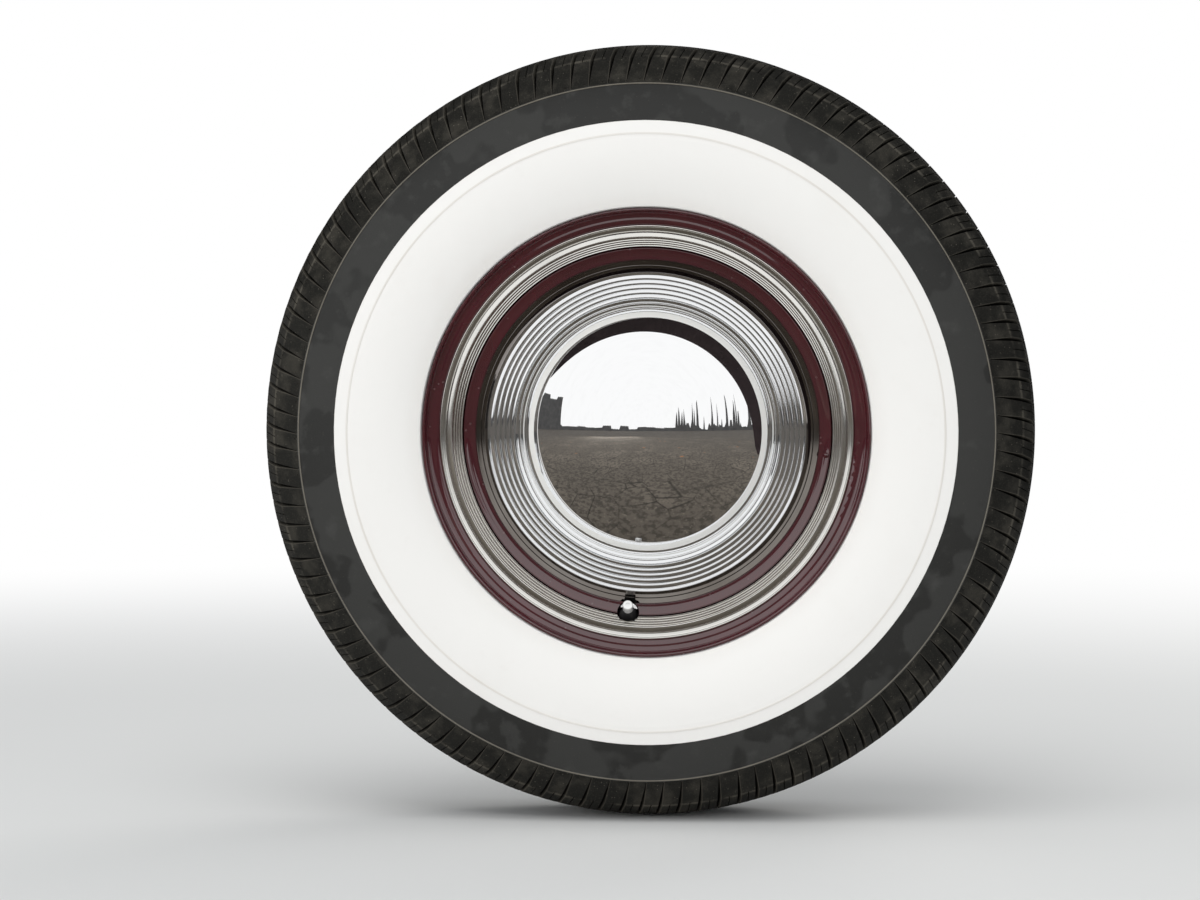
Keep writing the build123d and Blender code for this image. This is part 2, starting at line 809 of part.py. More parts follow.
with BuildPart(mode=Mode.PRIVATE) as plate_bolt_tunnels:
    with BuildSketch(face_plane(flange_back_reach - arm_palm)):
        with PolarLocations(plate_bolt_radius, plate_bolt_count, start_angle=45):
            Circle(plate_bolt_shank + plate_bolt_fit)
    extrude(amount=arm_palm + flange_thick + 2 * plate_wall)

with BuildPart() as steering_knuckle:
    with BuildSketch(YOKE):
        with Locations((-web_depth / 2, 0)):
            RectangleRounded(web_depth, 2 * yoke_half_height, web_corner)
        RectangleRounded(2 * web_gap_depth, yoke_gap, gap_corner, mode=Mode.SUBTRACT)
    extrude(amount=web_half_width, both=True)
    fillet(steering_knuckle.faces().filter_by(Axis.X).edges(), forging_round)
    split(bisect_by=face_plane(flange_reach), keep=Keep.BOTTOM)
    with BuildSketch(face_plane(flange_back_reach)):
        Circle(flange_radius)
    extrude(amount=flange_thick)
    for start in (-yoke_half_height, yoke_gap / 2):
        with BuildSketch(KINGPIN.offset(start)):
            Circle(boss_radius)
        extrude(amount=yoke_half_height - yoke_gap / 2)
    with BuildSketch(SECTION):
        with BuildLine():
            Polyline(
                (flange_reach, 0),
                (flange_reach, spindle_root_radius),
                (flange_reach + spindle_root_length, inner_journal_radius),
                (inner_journal_end, inner_journal_radius),
                (inner_journal_end + spindle_taper, inner_journal_radius - spindle_neck),
                (journal_step, outer_journal_radius + spindle_point),
                (journal_step + spindle_point, outer_journal_radius),
                (outer_journal_end, outer_journal_radius),
                (outer_journal_end, outer_journal_radius - spindle_neck),
                (spindle_reach - spindle_point, outer_journal_radius - spindle_neck),
                (spindle_reach, outer_journal_radius - spindle_neck - spindle_point),
                (spindle_reach, 0),
                close=True,
            )
        make_face()
    revolve(axis=Axis.Y)
    with BuildSketch(KINGPIN.offset(-yoke_half_height)):
        Circle(kingpin_bore_radius)
    extrude(amount=2 * yoke_half_height, mode=Mode.SUBTRACT)
    add(plate_bolt_tunnels.part, mode=Mode.SUBTRACT)
finish(steering_knuckle, "steering_knuckle", IRON)

# Backing plate: pressed sheet on the flange, stepped out to the drum, with a raised ring and a rolled edge
plate_centre_radius = flange_radius + plate_centre_margin
plate_ring_reach = plate_reach - plate_ring_rise
plate_radius = drum_radius + plate_margin
ring_low = plate_ring_radius - plate_ring_half
ring_high = plate_ring_radius + plate_ring_half
plate_line = (
    (flange_reach, spindle_root_radius + plate_hole_margin),
    (flange_reach, plate_centre_radius),
    (plate_reach, plate_centre_radius + plate_step),
    (plate_reach, ring_low),
    (plate_ring_reach, ring_low + plate_ring_slope),
    (plate_ring_reach, ring_high - plate_ring_slope),
    (plate_reach, ring_high),
    (plate_reach, plate_radius),
    (plate_reach + plate_curl, plate_radius),
)

with BuildPart() as backing_plate:
    with BuildSketch(SECTION):
        with BuildLine():
            FilletPolyline(*plate_line, radius=plate_bend)
            offset(amount=plate_wall, side=Side.RIGHT)
        make_face()
    revolve(axis=Axis.Y)
    add(plate_bolt_tunnels.part, mode=Mode.SUBTRACT)
finish(backing_plate, "backing_plate", IRON)

# Steering arm: a palm bolted to the rear half of the flange, and a forged arm to the tie rod's eye
palm_reach = flange_back_reach - arm_palm
palm_start = web_half_width + arm_palm_margin
palm_middle = -wheel_offset - flange_back_reach + arm_palm / 2
arm_sections = (
    # x, y, z, width, height
    (palm_start + arm_root_inset, palm_middle, 0.0, arm_palm, arm_root_height),
    (arm_eye_x / 2, arm_eye_y / 3 - arm_waist_back, arm_eye_z / 3, arm_waist_width, arm_waist_height),
    (arm_eye_x - arm_end_inset, arm_eye_y, arm_eye_z, arm_end_width, arm_end_height),
)

with BuildPart() as steering_arm:
    with BuildSketch(face_plane(palm_reach)):
        Circle(flange_radius)
        with Locations((palm_start - flange_radius, 0)):
            Rectangle(2 * flange_radius, 2 * flange_radius, mode=Mode.SUBTRACT)
    extrude(amount=arm_palm)
    for x, y, z, width, height in arm_sections:
        with BuildSketch(Plane(origin=(x, y, z), x_dir=(0, 1, 0), z_dir=(1, 0, 0))):
            RectangleRounded(width, height, 0.3 * width)
    loft(ruled=True)
    with BuildSketch(Plane.XY.offset(arm_eye_z - arm_eye_height / 2)):
        with Locations((arm_eye_x, arm_eye_y)):
            Circle(arm_eye_radius)
    extrude(amount=arm_eye_height)
    with BuildSketch(Plane.XY.offset(arm_eye_z - arm_eye_height / 2)):
        with Locations((arm_eye_x, arm_eye_y)):
            Circle(arm_bore_radius)
    extrude(amount=arm_eye_height, mode=Mode.SUBTRACT)
    add(plate_bolt_tunnels.part, mode=Mode.SUBTRACT)
    with BuildSketch(face_plane(palm_reach)):
        with PolarLocations(plate_bolt_radius, plate_bolt_count, start_angle=45):
            Circle(plate_bolt_seat)
    extrude(amount=-2 * arm_palm, mode=Mode.SUBTRACT)
finish(steering_arm, "steering_arm", IRON)

# Bolts through flange and plate: heads inboard, on the palm at the rear pair, and nuts inside the drum
nut_reach = flange_reach + plate_wall

with BuildPart() as knuckle_bolts:
    for turn in (45, 135, 225, 315):
        spot = Location((plate_bolt_radius * cos(radians(turn)), plate_bolt_radius * sin(radians(turn))))
        head_reach = palm_reach if spot.position.X > 0 else flange_back_reach
        with BuildSketch(face_plane(head_reach)):
            with Locations(spot):
                RegularPolygon(plate_bolt_flats / 2, 6, major_radius=False)
        extrude(amount=-plate_bolt_head)
        with BuildSketch(face_plane(head_reach)):
            with Locations(spot):
                Circle(plate_bolt_shank)
        extrude(amount=nut_reach - head_reach)
        with BuildSketch(face_plane(nut_reach)):
            with Locations(spot):
                RegularPolygon(plate_bolt_flats / 2, 6, major_radius=False)
        extrude(amount=plate_bolt_head)
finish(knuckle_bolts, "knuckle_bolts", STEEL)

# Fittings on the plate's raised ring: cylinder bolts and hose union at the top, anchors, adjusters
fitting_table = (
    # turn, flats, height
    (80.6, 14.0, 6.0),
    (90.0, 16.0, 13.0),
    (99.4, 14.0, 6.0),
    (-79.0, 19.0, 9.0),
    (-101.0, 19.0, 9.0),
    (0.0, 14.0, 8.0),
    (180.0, 14.0, 8.0),
)

with BuildPart() as plate_fittings:
    for turn, flats, height in fitting_table:
        with BuildSketch(face_plane(plate_ring_reach)):
            with PolarLocations(plate_ring_radius, 1, start_angle=turn):
                RegularPolygon(flats / 2, 6, major_radius=False)
        extrude(amount=-height)
finish(plate_fittings, "plate_fittings", STEEL)
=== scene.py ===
"""Finishes, tyre tread, bright trim and stage for a classic car's front wheel on its steering knuckle."""

import json
from math import asin, atan, atan2, cos, hypot, pi, radians, sin, sqrt, tan, tau

import bmesh
import bpy
import numpy as np
from bpy.props import FloatProperty, FloatVectorProperty, IntProperty
from mathutils import Matrix, Vector


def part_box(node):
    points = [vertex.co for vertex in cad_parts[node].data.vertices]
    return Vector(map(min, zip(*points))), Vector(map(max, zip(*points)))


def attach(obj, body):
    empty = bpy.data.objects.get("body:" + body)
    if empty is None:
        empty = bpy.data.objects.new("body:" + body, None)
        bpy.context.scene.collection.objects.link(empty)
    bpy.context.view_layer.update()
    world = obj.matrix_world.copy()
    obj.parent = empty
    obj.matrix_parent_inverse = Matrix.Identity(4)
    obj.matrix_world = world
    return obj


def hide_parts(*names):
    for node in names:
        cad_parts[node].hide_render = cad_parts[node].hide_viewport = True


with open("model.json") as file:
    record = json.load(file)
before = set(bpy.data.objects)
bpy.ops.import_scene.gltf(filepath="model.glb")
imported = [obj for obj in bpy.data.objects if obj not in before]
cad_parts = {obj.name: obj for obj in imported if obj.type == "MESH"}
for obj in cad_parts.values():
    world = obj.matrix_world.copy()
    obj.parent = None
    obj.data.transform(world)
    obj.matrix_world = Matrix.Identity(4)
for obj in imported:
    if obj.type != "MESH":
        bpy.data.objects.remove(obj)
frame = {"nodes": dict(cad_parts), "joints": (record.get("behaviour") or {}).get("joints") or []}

bl_info = {
    "name": "Classic front wheel",
    "version": (1, 1, 0),
    "blender": (4, 5, 0),
    "location": "View3D > Sidebar > Wheel",
    "description": "Dresses the packed front wheel with its tread, finishes and studio",
    "category": "Object",
}

MM = 0.001

# Three sizes repeat the part's; the frame gives the spin axis and the others
FLANGE_HEIGHT, DISC_INSET, CAP_DEPTH = 17.3 * MM, 22.5 * MM, 27.7 * MM
CENTRE_Y = frame["joints"][0]["pos_m"][1]
CASING_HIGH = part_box("tyre")[1]
TREAD_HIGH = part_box("tyre_tread")[1]
RIM_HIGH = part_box("rim")[1]
WHITE_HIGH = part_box("whitewall")[1]
DOME_LOW, DOME_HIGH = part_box("hub_cap_dome")
TYRE_RADIUS = TREAD_HIGH.z
TYRE_HALF_WIDTH = CASING_HIGH.y - CENTRE_Y
LIP_REACH = RIM_HIGH.y - CENTRE_Y
LIP_RADIUS = RIM_HIGH.z
WHITE_RADIUS = WHITE_HIGH.z
SEAT_RADIUS = LIP_RADIUS - FLANGE_HEIGHT
DISC_RADIUS = SEAT_RADIUS - DISC_INSET
CAP_REACH = LIP_REACH - CAP_DEPTH

# The body that every made piece rides on, and the columns of turned pieces
WHEEL = "wheel"
COLUMNS, FINE_COLUMNS = 288, 360


def colour_property(name, description, default):
    return FloatVectorProperty(
        name=name, description=description, default=default, subtype="COLOR", min=0.0, max=1.0
    )


def length_property(name, description, default):
    return FloatProperty(name=name, description=description, default=default, unit="LENGTH", min=0.0)


def angle_property(name, description, degrees):
    return FloatProperty(name=name, description=description, default=radians(degrees), subtype="ANGLE")


class WheelTyreSettings(bpy.types.PropertyGroup):
    """Sizes of the casing and the tread, and colours of the rubber."""

    pitch_sets: IntProperty(
        name="Pitch sets", description="Sets of six tread blocks", default=20, min=8, max=24
    )
    widest_share: FloatProperty(
        name="Widest place",
        description="Where the tyre is widest, from lip to crown",
        default=0.412,
        min=0.3,
        max=0.6,
    )
    seam_inset: length_property("Seam inset", "How far the mould seam lies in from the widest point", 8 * MM)
    seam_drop: length_property("Seam drop", "Fall from the crown's middle to the mould seam", 42 * MM)
    tread_half_width: length_property("Tread half width", "From the centre plane to the shoulder", 62 * MM)
    shoulder_drop: length_property("Shoulder drop", "Fall from the crown's middle to the shoulder", 14 * MM)
    crown_half_width: length_property("Crown half width", "From centre plane to crown's edge", 48 * MM)
    crown_drop: length_property("Crown drop", "Fall of the crown from its middle to its edge", 4.2 * MM)
    shoulder_depth: length_property("Shoulder depth", "Thickness of the tread at the shoulder", 14.5 * MM)
    crown_depth: length_property("Crown depth", "Thickness of the tread at its middle", 12 * MM)
    wall: length_property("Wall", "Thickness of the casing", 8 * MM)
    groove_spacing: length_property("Groove spacing", "From one groove round the tyre to the next", 34 * MM)
    groove_width: length_property("Groove width", "Width of the grooves round the tyre", 6 * MM)
    groove_depth: length_property("Groove depth", "Depth of the grooves round the tyre", 7 * MM)
    zigzag: length_property("Zigzag", "How far those grooves wander to each side", 1.2 * MM)
    rib_edge_drop: length_property("Rib edge drop", "Fall of the crown to its outer groove's edge", 2.5 * MM)
    slot_floor_drop: length_property("Slot depth", "Depth of the cross grooves at the crown", 4 * MM)
    slot_half_angle: angle_property("Slot half angle", "Half the angle of the cross grooves", 12)
    slot_seam_shift: FloatProperty(
        name="Slot at seam", description="Shift in pitches at the seam", default=0.1
    )
    slot_crown_shift: FloatProperty(
        name="Slot at crown", description="Shift in pitches at the crown", default=-0.6
    )
    sipe_depth: length_property("Sipe depth", "Depth of the thin cut in each block", 3 * MM)
    white_depth: length_property("White depth", "Thickness of the white rubber", 1.8 * MM)
    white_gap: length_property("White gap", "From the tyre's foot to the white rubber", 0.8 * MM)
    tread: colour_property("Tread rubber", "Matt rubber of the tread", (0.015, 0.0145, 0.0125))
    side: colour_property("Sidewall rubber", "Satin rubber between tread and white", (0.040, 0.040, 0.038))
    dust: colour_property("Road dust", "Dust on edges and in the grain", (0.095, 0.086, 0.070))
    white: colour_property("White rubber", "Rubber of the whitewall", (0.925, 0.910, 0.885))
    stain: colour_property("Stain", "Brown tint at the edges of the white rubber", (0.58, 0.52, 0.45))


class WheelFinishSettings(bpy.types.PropertyGroup):
    """Colours of the paint and the metals, and the valve's place."""

    maroon: colour_property("Maroon", "Paint of the rim and disc", (0.050, 0.0040, 0.0080))
    chrome: colour_property("Chrome", "Plating of the hub cap", (0.86, 0.87, 0.88))
    dome: colour_property("Dome", "Plating of the dome", (0.96, 0.965, 0.97))
    # Painted dark reflection on the hub cap's steep band
    film: colour_property("Film", "Brown film on the hub cap's steep band", (0.13, 0.105, 0.090))
    # Painted reflection of the whitewall, as a pale ring on the dome's edge
    enamel: colour_property("Enamel", "Pale ring at the dome's edge", (0.88, 0.87, 0.84))
    stainless: colour_property("Stainless", "Trim ring", (0.80, 0.79, 0.755))
    chassis: colour_property("Chassis black", "Paint of knuckle and backing plate", (0.017, 0.017, 0.018))
    iron: colour_property("Cast iron", "Brake drum", (0.115, 0.105, 0.098))
    steel: colour_property("Plated steel", "Bolts, nuts and unions", (0.24, 0.23, 0.215))
    nickel: colour_property("Nickel", "Plating of the valve cap", (0.90, 0.90, 0.89))
    rust: colour_property("Rust", "Light rust on bare iron", (0.17, 0.075, 0.035))
    valve_turn: angle_property("Valve turn", "Angle of the valve round the wheel", -96)
    valve_lean: angle_property("Valve lean", "How far it leans in to the axis", 25.33)
    valve_room: length_property("Valve room", "Radius of the opening that the valve stands in", 10.9 * MM)


class WheelStageSettings(bpy.types.PropertyGroup):
    """Floor, reflections and camera."""

    floor: colour_property("Floor", "Pale studio floor", (0.78, 0.78, 0.77))
    ground: colour_property("Ground card", "Dark ground that only reflections show", (0.120, 0.102, 0.082))
    # Painted shade for the body's wheel arch
    arch: colour_property("Arch card", "Dark arch that only reflections show", (0.022, 0.014, 0.015))
    arch_radius: length_property("Arch radius", "Radius of the arch card", 0.44)
    camera_distance: length_property("Camera distance", "From the camera to the plane of the rim's lip", 3.52)
    lens: FloatProperty(name="Lens", description="Focal length", default=108.0, unit="CAMERA")
    azimuth: angle_property("Azimuth", "Camera's turn to the rear", 3.4)
    elevation: angle_property("Elevation", "Camera's rise over the axle", 2.4)


# Shader maths


def arithmetic(operation, reflected=False):
    """An operator of Wire: the Math node for it, with the sockets swapped where it is reflected."""

    def apply(self, other):
        values = (other, self) if reflected else (self, other)
        return self.math(operation, *values)

    return apply


class Wire:
    """An output socket that shader maths is written with."""

    __add__ = arithmetic("ADD")
    __radd__ = arithmetic("ADD", reflected=True)
    __sub__ = arithmetic("SUBTRACT")
    __rsub__ = arithmetic("SUBTRACT", reflected=True)
    __mul__ = arithmetic("MULTIPLY")
    __rmul__ = arithmetic("MULTIPLY", reflected=True)
    __truediv__ = arithmetic("DIVIDE")
    __pow__ = arithmetic("POWER")

    def __init__(self, finish, socket):
        self.finish = finish
        self.socket = socket

    def __abs__(self):
        return self.math("ABSOLUTE", self)

    def math(self, operation, *values):
        return self.finish.node("ShaderNodeMath", {"operation": operation}, dict(enumerate(values)))

    def step(self, low, high, start=0.0, end=1.0):
        """Runs from start to end, smoothly, while the value runs from low to high."""
        return self.finish.node(
            "ShaderNodeMapRange",
            {"interpolation_type": "SMOOTHSTEP"},
            {"Value": self, "From Min": low, "From Max": high, "To Min": start, "To Max": end},
        )

    def near(self, middle, half_width, edge):
        """1 within half_width of middle, fading to 0 over edge."""
        return 1 - abs(self - middle).step(half_width, half_width + edge)


# Sockets of a Mix node that blends colours
MIX_FACTOR, MIX_FIRST, MIX_SECOND, MIX_RESULT = 0, 6, 7, 2


class Finish:
    """A material, and the one method that makes its nodes."""

    def __init__(self, name, tree_owner=None):
        self.material = tree_owner or bpy.data.materials.new(name)
        self.material.use_nodes = True
        self.tree = self.material.node_tree
        self.tree.nodes.clear()
        self.made = {}

    def node(self, kind, settings=None, inputs=None, output=0):
        """Makes a node, sets it, then fills or links its sockets; gives one output as a Wire."""
        made = self.tree.nodes.new(kind)
        for key, value in (settings or {}).items():
            setattr(made, key, value)
        for key, value in (inputs or {}).items():
            socket = made.inputs[key]
            if isinstance(value, Wire):
                self.tree.links.new(value.socket, socket)
            elif hasattr(value, "__len__") and len(value) == 3 and socket.type == "RGBA":
                socket.default_value = (*value, 1.0)
            else:
                socket.default_value = value
        return Wire(self, made.outputs[output]) if made.outputs else None

    def once(self, key, make):
        """Makes a node the first time it is asked for, and then gives that one."""
        if key not in self.made:
            self.made[key] = make()
        return self.made[key]

    @property
    def place(self):
        return self.once("place", lambda: self.node("ShaderNodeTexCoord", output="Object"))

    def axis(self, name):
        return self.once(
            name,
            lambda: self.node("ShaderNodeSeparateXYZ", inputs={"Vector": self.place}, output=name),
        )

    @property
    def radius(self):
        """Distance from the spin axis."""
        return self.once("radius", lambda: (self.axis("X") ** 2 + self.axis("Z") ** 2) ** 0.5)

    @property
    def reach(self):
        """Distance outboard of the wheel's centre plane."""
        return self.once("reach", lambda: CENTRE_Y - self.axis("Y"))

    def noise(self, scale, detail=3.0, roughness=0.55, vector=None):
        return self.node(
            "ShaderNodeTexNoise",
            {},
            {"Vector": vector or self.place, "Scale": scale, "Detail": detail, "Roughness": roughness},
            "Fac",
        )

    def specks(self, scale, share):
        """Small spots, as a mask, over about that share of the cells."""
        inputs = {"Vector": self.place, "Scale": scale}
        cell = self.node("ShaderNodeTexVoronoi", {}, inputs, "Distance")
        pick = self.node("ShaderNodeTexVoronoi", {}, inputs, "Color")
        value = self.node("ShaderNodeSeparateColor", {}, {"Color": pick}, "Red")
        return (1 - cell.step(0.12, 0.3)) * value.step(1 - share, 1 - 0.8 * share)

    def turned(self, across, around):
        """Coordinates that run round the wheel, for marks left by turning and polishing."""
        return self.node(
            "ShaderNodeCombineXYZ",
            {},
            {
                "X": self.radius * across,
                "Y": self.axis("X") / self.radius * around,
                "Z": self.axis("Z") / self.radius * around + self.reach * across,
            },
        )

    def mix(self, first, second, factor):
        inputs = {MIX_FACTOR: factor, MIX_FIRST: first, MIX_SECOND: second}
        return self.node("ShaderNodeMix", {"data_type": "RGBA"}, inputs, MIX_RESULT)

    def bump(self, height, distance, strength=1.0):
        inputs = {"Height": height, "Distance": distance, "Strength": strength}
        return self.node("ShaderNodeBump", {}, inputs, "Normal")

    def shader(self, base, roughness, normal=None, **constants):
        inputs = {"Base Color": base, "Roughness": roughness}
        if normal is not None:
            inputs["Normal"] = normal
        for name, value in constants.items():
            inputs[name.replace("_", " ").title().replace("Ior", "IOR")] = value
        return self.node("ShaderNodeBsdfPrincipled", {}, inputs)

    def surface(self, *args, **constants):
        """Ends the material in one shader."""
        self.node("ShaderNodeOutputMaterial", {}, {"Surface": self.shader(*args, **constants)})
        return self.material


def shade(colour, share):
    """The colour made darker, or lighter with a share over 1."""
    return tuple(share * part for part in colour)


def sidewall_finish(colours):
    """Satin black rubber, blotched and faintly dusty; its foot at the rim's lip is white."""
    f = Finish("sidewall_rubber")
    broad = f.noise(13, 2.5)
    cloud = f.noise(34, 4.5)
    fine = f.noise(900, 2.0)
    blotch = broad.step(0.50, 0.54) * cloud.step(0.36, 0.46) * f.reach.step(-40 * MM, 40 * MM, 0.3, 1.0)
    base = f.mix(colours.side, shade(colours.side, 0.40), blotch * 0.62)
    base = f.mix(base, shade(colours.side, 1.7), cloud.step(0.56, 0.75) * 0.45)
    seam = TYRE_RADIUS - colours.seam_drop
    seam_line = f.radius.near(seam + 0.25 * MM, 0.45 * MM, 0.4 * MM) * (0.55 + cloud * 0.6)
    base = f.mix(base, shade(colours.dust, 2.0), seam_line)
    base = f.mix(base, colours.dust, f.specks(520, 0.04) * 0.35)
    foot = (1 - f.radius.step(LIP_RADIUS + 2.35 * MM, LIP_RADIUS + 2.5 * MM)) * f.reach.step(66 * MM, 67 * MM)
    base = f.mix(base, colours.white, foot)
    rough = 0.50 + cloud * 0.14 - blotch * 0.12
    grain = f.bump(fine + f.noise(260, 3.0) * 0.6, 0.2 * MM, 0.45)
    return f.surface(base, rough, grain, specular_ior_level=0.35)


def tread_finish(colours):
    """Matt tread rubber, with dirt and painted shade in its grooves, road dust on its faces, and lighter
    along one side of each cross groove.
    """
    f = Finish("tread_rubber")
    groove = f.node("ShaderNodeAttribute", {"attribute_name": "groove"}, {}, "Fac")
    edge = f.node("ShaderNodeAttribute", {"attribute_name": "edge"}, {}, "Fac")
    cloud = f.noise(45, 4.0)
    fine = f.noise(800, 2.5)
    dust = cloud.step(0.42, 0.72) * 0.30 + fine.step(0.52, 0.74) * 0.22
    base = f.mix(colours.tread, colours.dust, dust)
    # Lighter, in the dust colour, along one side of each cross groove.
    base = f.mix(base, colours.dust, edge * (0.35 + cloud * 0.55))
    rim = f.radius.near(TYRE_RADIUS - colours.shoulder_drop, 0.5 * MM, 1.0 * MM) * cloud.step(0.35, 0.65)
    base = f.mix(base, shade(colours.dust, 1.2), rim * 0.6)
    # Dirt and painted shade: darker the deeper the groove.
    base = f.mix(base, shade(colours.tread, 0.2), groove.step(0.1, 0.6) * 0.9)
    base = f.mix(base, shade(colours.dust, 1.6), f.specks(420, 0.10) * (1 - groove) * 0.6)
    rough = 0.72 + cloud * 0.16
    grain = f.bump(fine + f.noise(260, 3.0) * 0.7, 0.3 * MM, 0.6)
    return f.surface(base, rough, grain, specular_ior_level=0.16)


def white_finish(colours):
    """White rubber: smooth, faintly yellowed, browner towards the rim, and dirty along the thin raised line.
    """
    f = Finish("white_rubber")
    cloud = f.noise(9, 4.0)
    fine = f.noise(170, 3.0)
    # Browner towards the rim.
    at_rim = 1 - f.radius.step(LIP_RADIUS, LIP_RADIUS + 20 * MM)
    line = f.radius.near(WHITE_RADIUS - 12.5 * MM, 0.7 * MM, 0.5 * MM)
    edge = f.radius.step(WHITE_RADIUS - 1.6 * MM, WHITE_RADIUS)
    dirt = at_rim * (0.05 + cloud * 0.12) + line * (0.16 + cloud * 0.3) + edge * fine * 0.3
    smudge = cloud.step(0.56, 0.74) * 0.05 + f.noise(55, 5.0).step(0.62, 0.80) * 0.05
    base = f.mix(colours.white, colours.stain, dirt + smudge)
    rough = 0.42 + cloud * 0.14 + fine * 0.06
    grain = f.bump(fine + f.noise(700, 2.0) * 0.5, 0.12 * MM, 0.35)
    return f.surface(base, rough, grain, specular_ior_level=0.35)


def paint_finish(colours):
    """Deep maroon enamelled paint under a gloss, with a faint orange peel and fine dust."""
    f = Finish("maroon_paint")
    cloud = f.noise(11, 3.0)
    fine = f.noise(600, 2.0)
    base = f.mix(colours.maroon, shade(colours.maroon, 1.6), cloud.step(0.35, 0.7) * 0.5)
    base = f.mix(base, (0.30, 0.26, 0.25), f.specks(240, 0.05) * 0.25)
    peel = f.bump(f.noise(210, 2.0) + fine * 0.15, 0.08 * MM, 0.14)
    rough = 0.26 + cloud * 0.10
    gloss = {"coat_weight": 1.0, "coat_roughness": 0.03, "coat_ior": 1.9, "specular_ior_level": 0.12}
    return f.surface(base, rough, peel, **gloss)


def chrome_finish(colours):
    """Mirror plating, with a faint polishing haze and a few pits, and a painted dark brown reflection on the
    steep band.
    """
    f = Finish("chrome_plate")
    haze = f.noise(1.0, 3.0, vector=f.turned(900, 7.0))
    cloud = f.noise(16, 4.0)
    pits = f.specks(330, 0.05)
    base = f.mix(colours.chrome, shade(colours.chrome, 0.82), haze.step(0.45, 0.8) * 0.25 + pits * 0.4)
    # The steep band gets a painted dark brown reflection, standing in for the dark wheel arch and maroon
    # paint that it mirrors.
    band = f.radius.step(DISC_RADIUS - 24.5 * MM, DISC_RADIUS - 22.5 * MM)
    base = f.mix(base, colours.film, band * (0.72 + cloud * 0.25))
    rough = 0.035 + haze.step(0.4, 0.8) * 0.04 + cloud.step(0.5, 0.8) * 0.03 + pits * 0.15
    return f.surface(base, rough, f.bump(haze, 0.004 * MM, 0.1), metallic=1.0)


def dome_finish(colours):
    """The dome's cleaner mirror plating, with a pale ring at its edge that is a painted reflection of the
    whitewall.
    """
    f = Finish("dome_plate")
    # The pale ring is a painted reflection of the whitewall: pale colour, rough and not metal.
    ring = f.radius.near(DOME_HIGH.z - 5.0 * MM, 2.6 * MM, 0.25 * MM)
    cloud = f.noise(7, 4.0)
    wipe = f.noise(1.0, 3.0, vector=f.turned(260, 5.0))
    base = f.mix(colours.dome, shade(colours.dome, 0.92), wipe.step(0.4, 0.8) * 0.3)
    base = f.mix(base, colours.enamel, ring)
    rough = 0.012 + cloud.step(0.45, 0.8) * 0.018 + wipe.step(0.5, 0.8) * 0.010 + ring * 0.25
    return f.surface(base, rough, f.bump(f.noise(5.0, 1.0), 0.3 * MM, 0.1), metallic=1 - ring)


def stainless_finish(colours):
    """Polished stainless strip, with marks that run round it and painted shade in its groove."""
    f = Finish("stainless_trim")
    lines = f.noise(1.0, 4.0, vector=f.turned(420, 7.0))
    cloud = f.noise(26, 4.0)
    base = f.mix(colours.stainless, shade(colours.stainless, 0.74), cloud.step(0.40, 0.75) * 0.35)
    # Painted shade darkens the groove that faces in.
    groove = f.radius.near(SEAT_RADIUS - 3.9 * MM, 0.7 * MM, 0.8 * MM)
    base = f.mix(base, shade(colours.stainless, 0.42), groove * 0.2)
    rough = 0.11 + lines.step(0.4, 0.8) * 0.07 + cloud.step(0.45, 0.8) * 0.05
    return f.surface(base, rough, metallic=1.0)


def chassis_finish(colours, name, grit):
    """Black chassis paint over a forged or pressed skin, with road dust that gathers on its upper faces."""
    f = Finish(name)
    normal = f.node("ShaderNodeNewGeometry", output="Normal")
    up = f.node("ShaderNodeSeparateXYZ", inputs={"Vector": normal}, output="Z")
    cloud = f.noise(24, 5.0)
    fine = f.noise(grit, 3.0)
    dust = up.step(0.05, 0.9) * cloud.step(0.3, 0.65) * 0.5 + cloud.step(0.55, 0.8) * 0.22
    base = f.mix(colours.chassis, (0.115, 0.10, 0.085), dust)
    base = f.mix(base, colours.rust, f.noise(60, 5.0).step(0.66, 0.78) * 0.5)
    rough = 0.42 + dust * 0.5 + fine * 0.1
    skin = f.bump(fine + cloud * 0.8, 0.5 * MM, 0.4)
    return f.surface(base, rough, skin, specular_ior_level=0.45)


def iron_finish(colours):
    """Cast iron, browned by light rust."""
    f = Finish("drum_iron")
    cloud = f.noise(30, 5.0)
    fine = f.noise(420, 3.0)
    lines = f.noise(1.0, 3.0, vector=f.turned(1800, 2.0))
    base = f.mix(colours.iron, colours.rust, cloud.step(0.38, 0.68) * 0.65)
    base = f.mix(base, shade(colours.iron, 0.4), fine.step(0.5, 0.75) * 0.4)
    rough = 0.55 + cloud * 0.3
    return f.surface(base, rough, f.bump(fine + lines * 0.4, 0.4 * MM, 0.5), metallic=0.35)


def steel_finish(name, tint, tarnish, metal=0.95):
    """Plated steel, dulled in places."""
    f = Finish(name)
    cloud = f.noise(120, 4.0)
    fine = f.noise(1500, 2.0)
    base = f.mix(tint, shade(tint, 0.35), cloud.step(0.40, 0.7) * tarnish)
    rough = 0.12 + 0.12 * tarnish + cloud * (0.1 + 0.2 * tarnish) + fine * 0.06
    return f.surface(base, rough, f.bump(fine, 0.05 * MM, 0.3 * tarnish), metallic=metal)


def valve_finish():
    """Matt valve rubber, a little dusty."""
    f = Finish("valve_rubber")
    cloud = f.noise(160, 4.0)
    base = f.mix((0.018, 0.018, 0.019), (0.085, 0.08, 0.072), cloud.step(0.5, 0.8) * 0.45)
    return f.surface(base, 0.6 + cloud * 0.2, f.bump(f.noise(900, 2.0), 0.1 * MM, 0.4))


# Meshes


def on_wheel(reach, radius, turn):
    """Point from its reach outboard of the centre plane, its radius and its turn about the spin axis.
    The values may be arrays; 0 * turn then gives y the shape that x and z have."""
    return (radius * np.cos(turn), CENTRE_Y - reach + 0 * turn, radius * np.sin(turn))


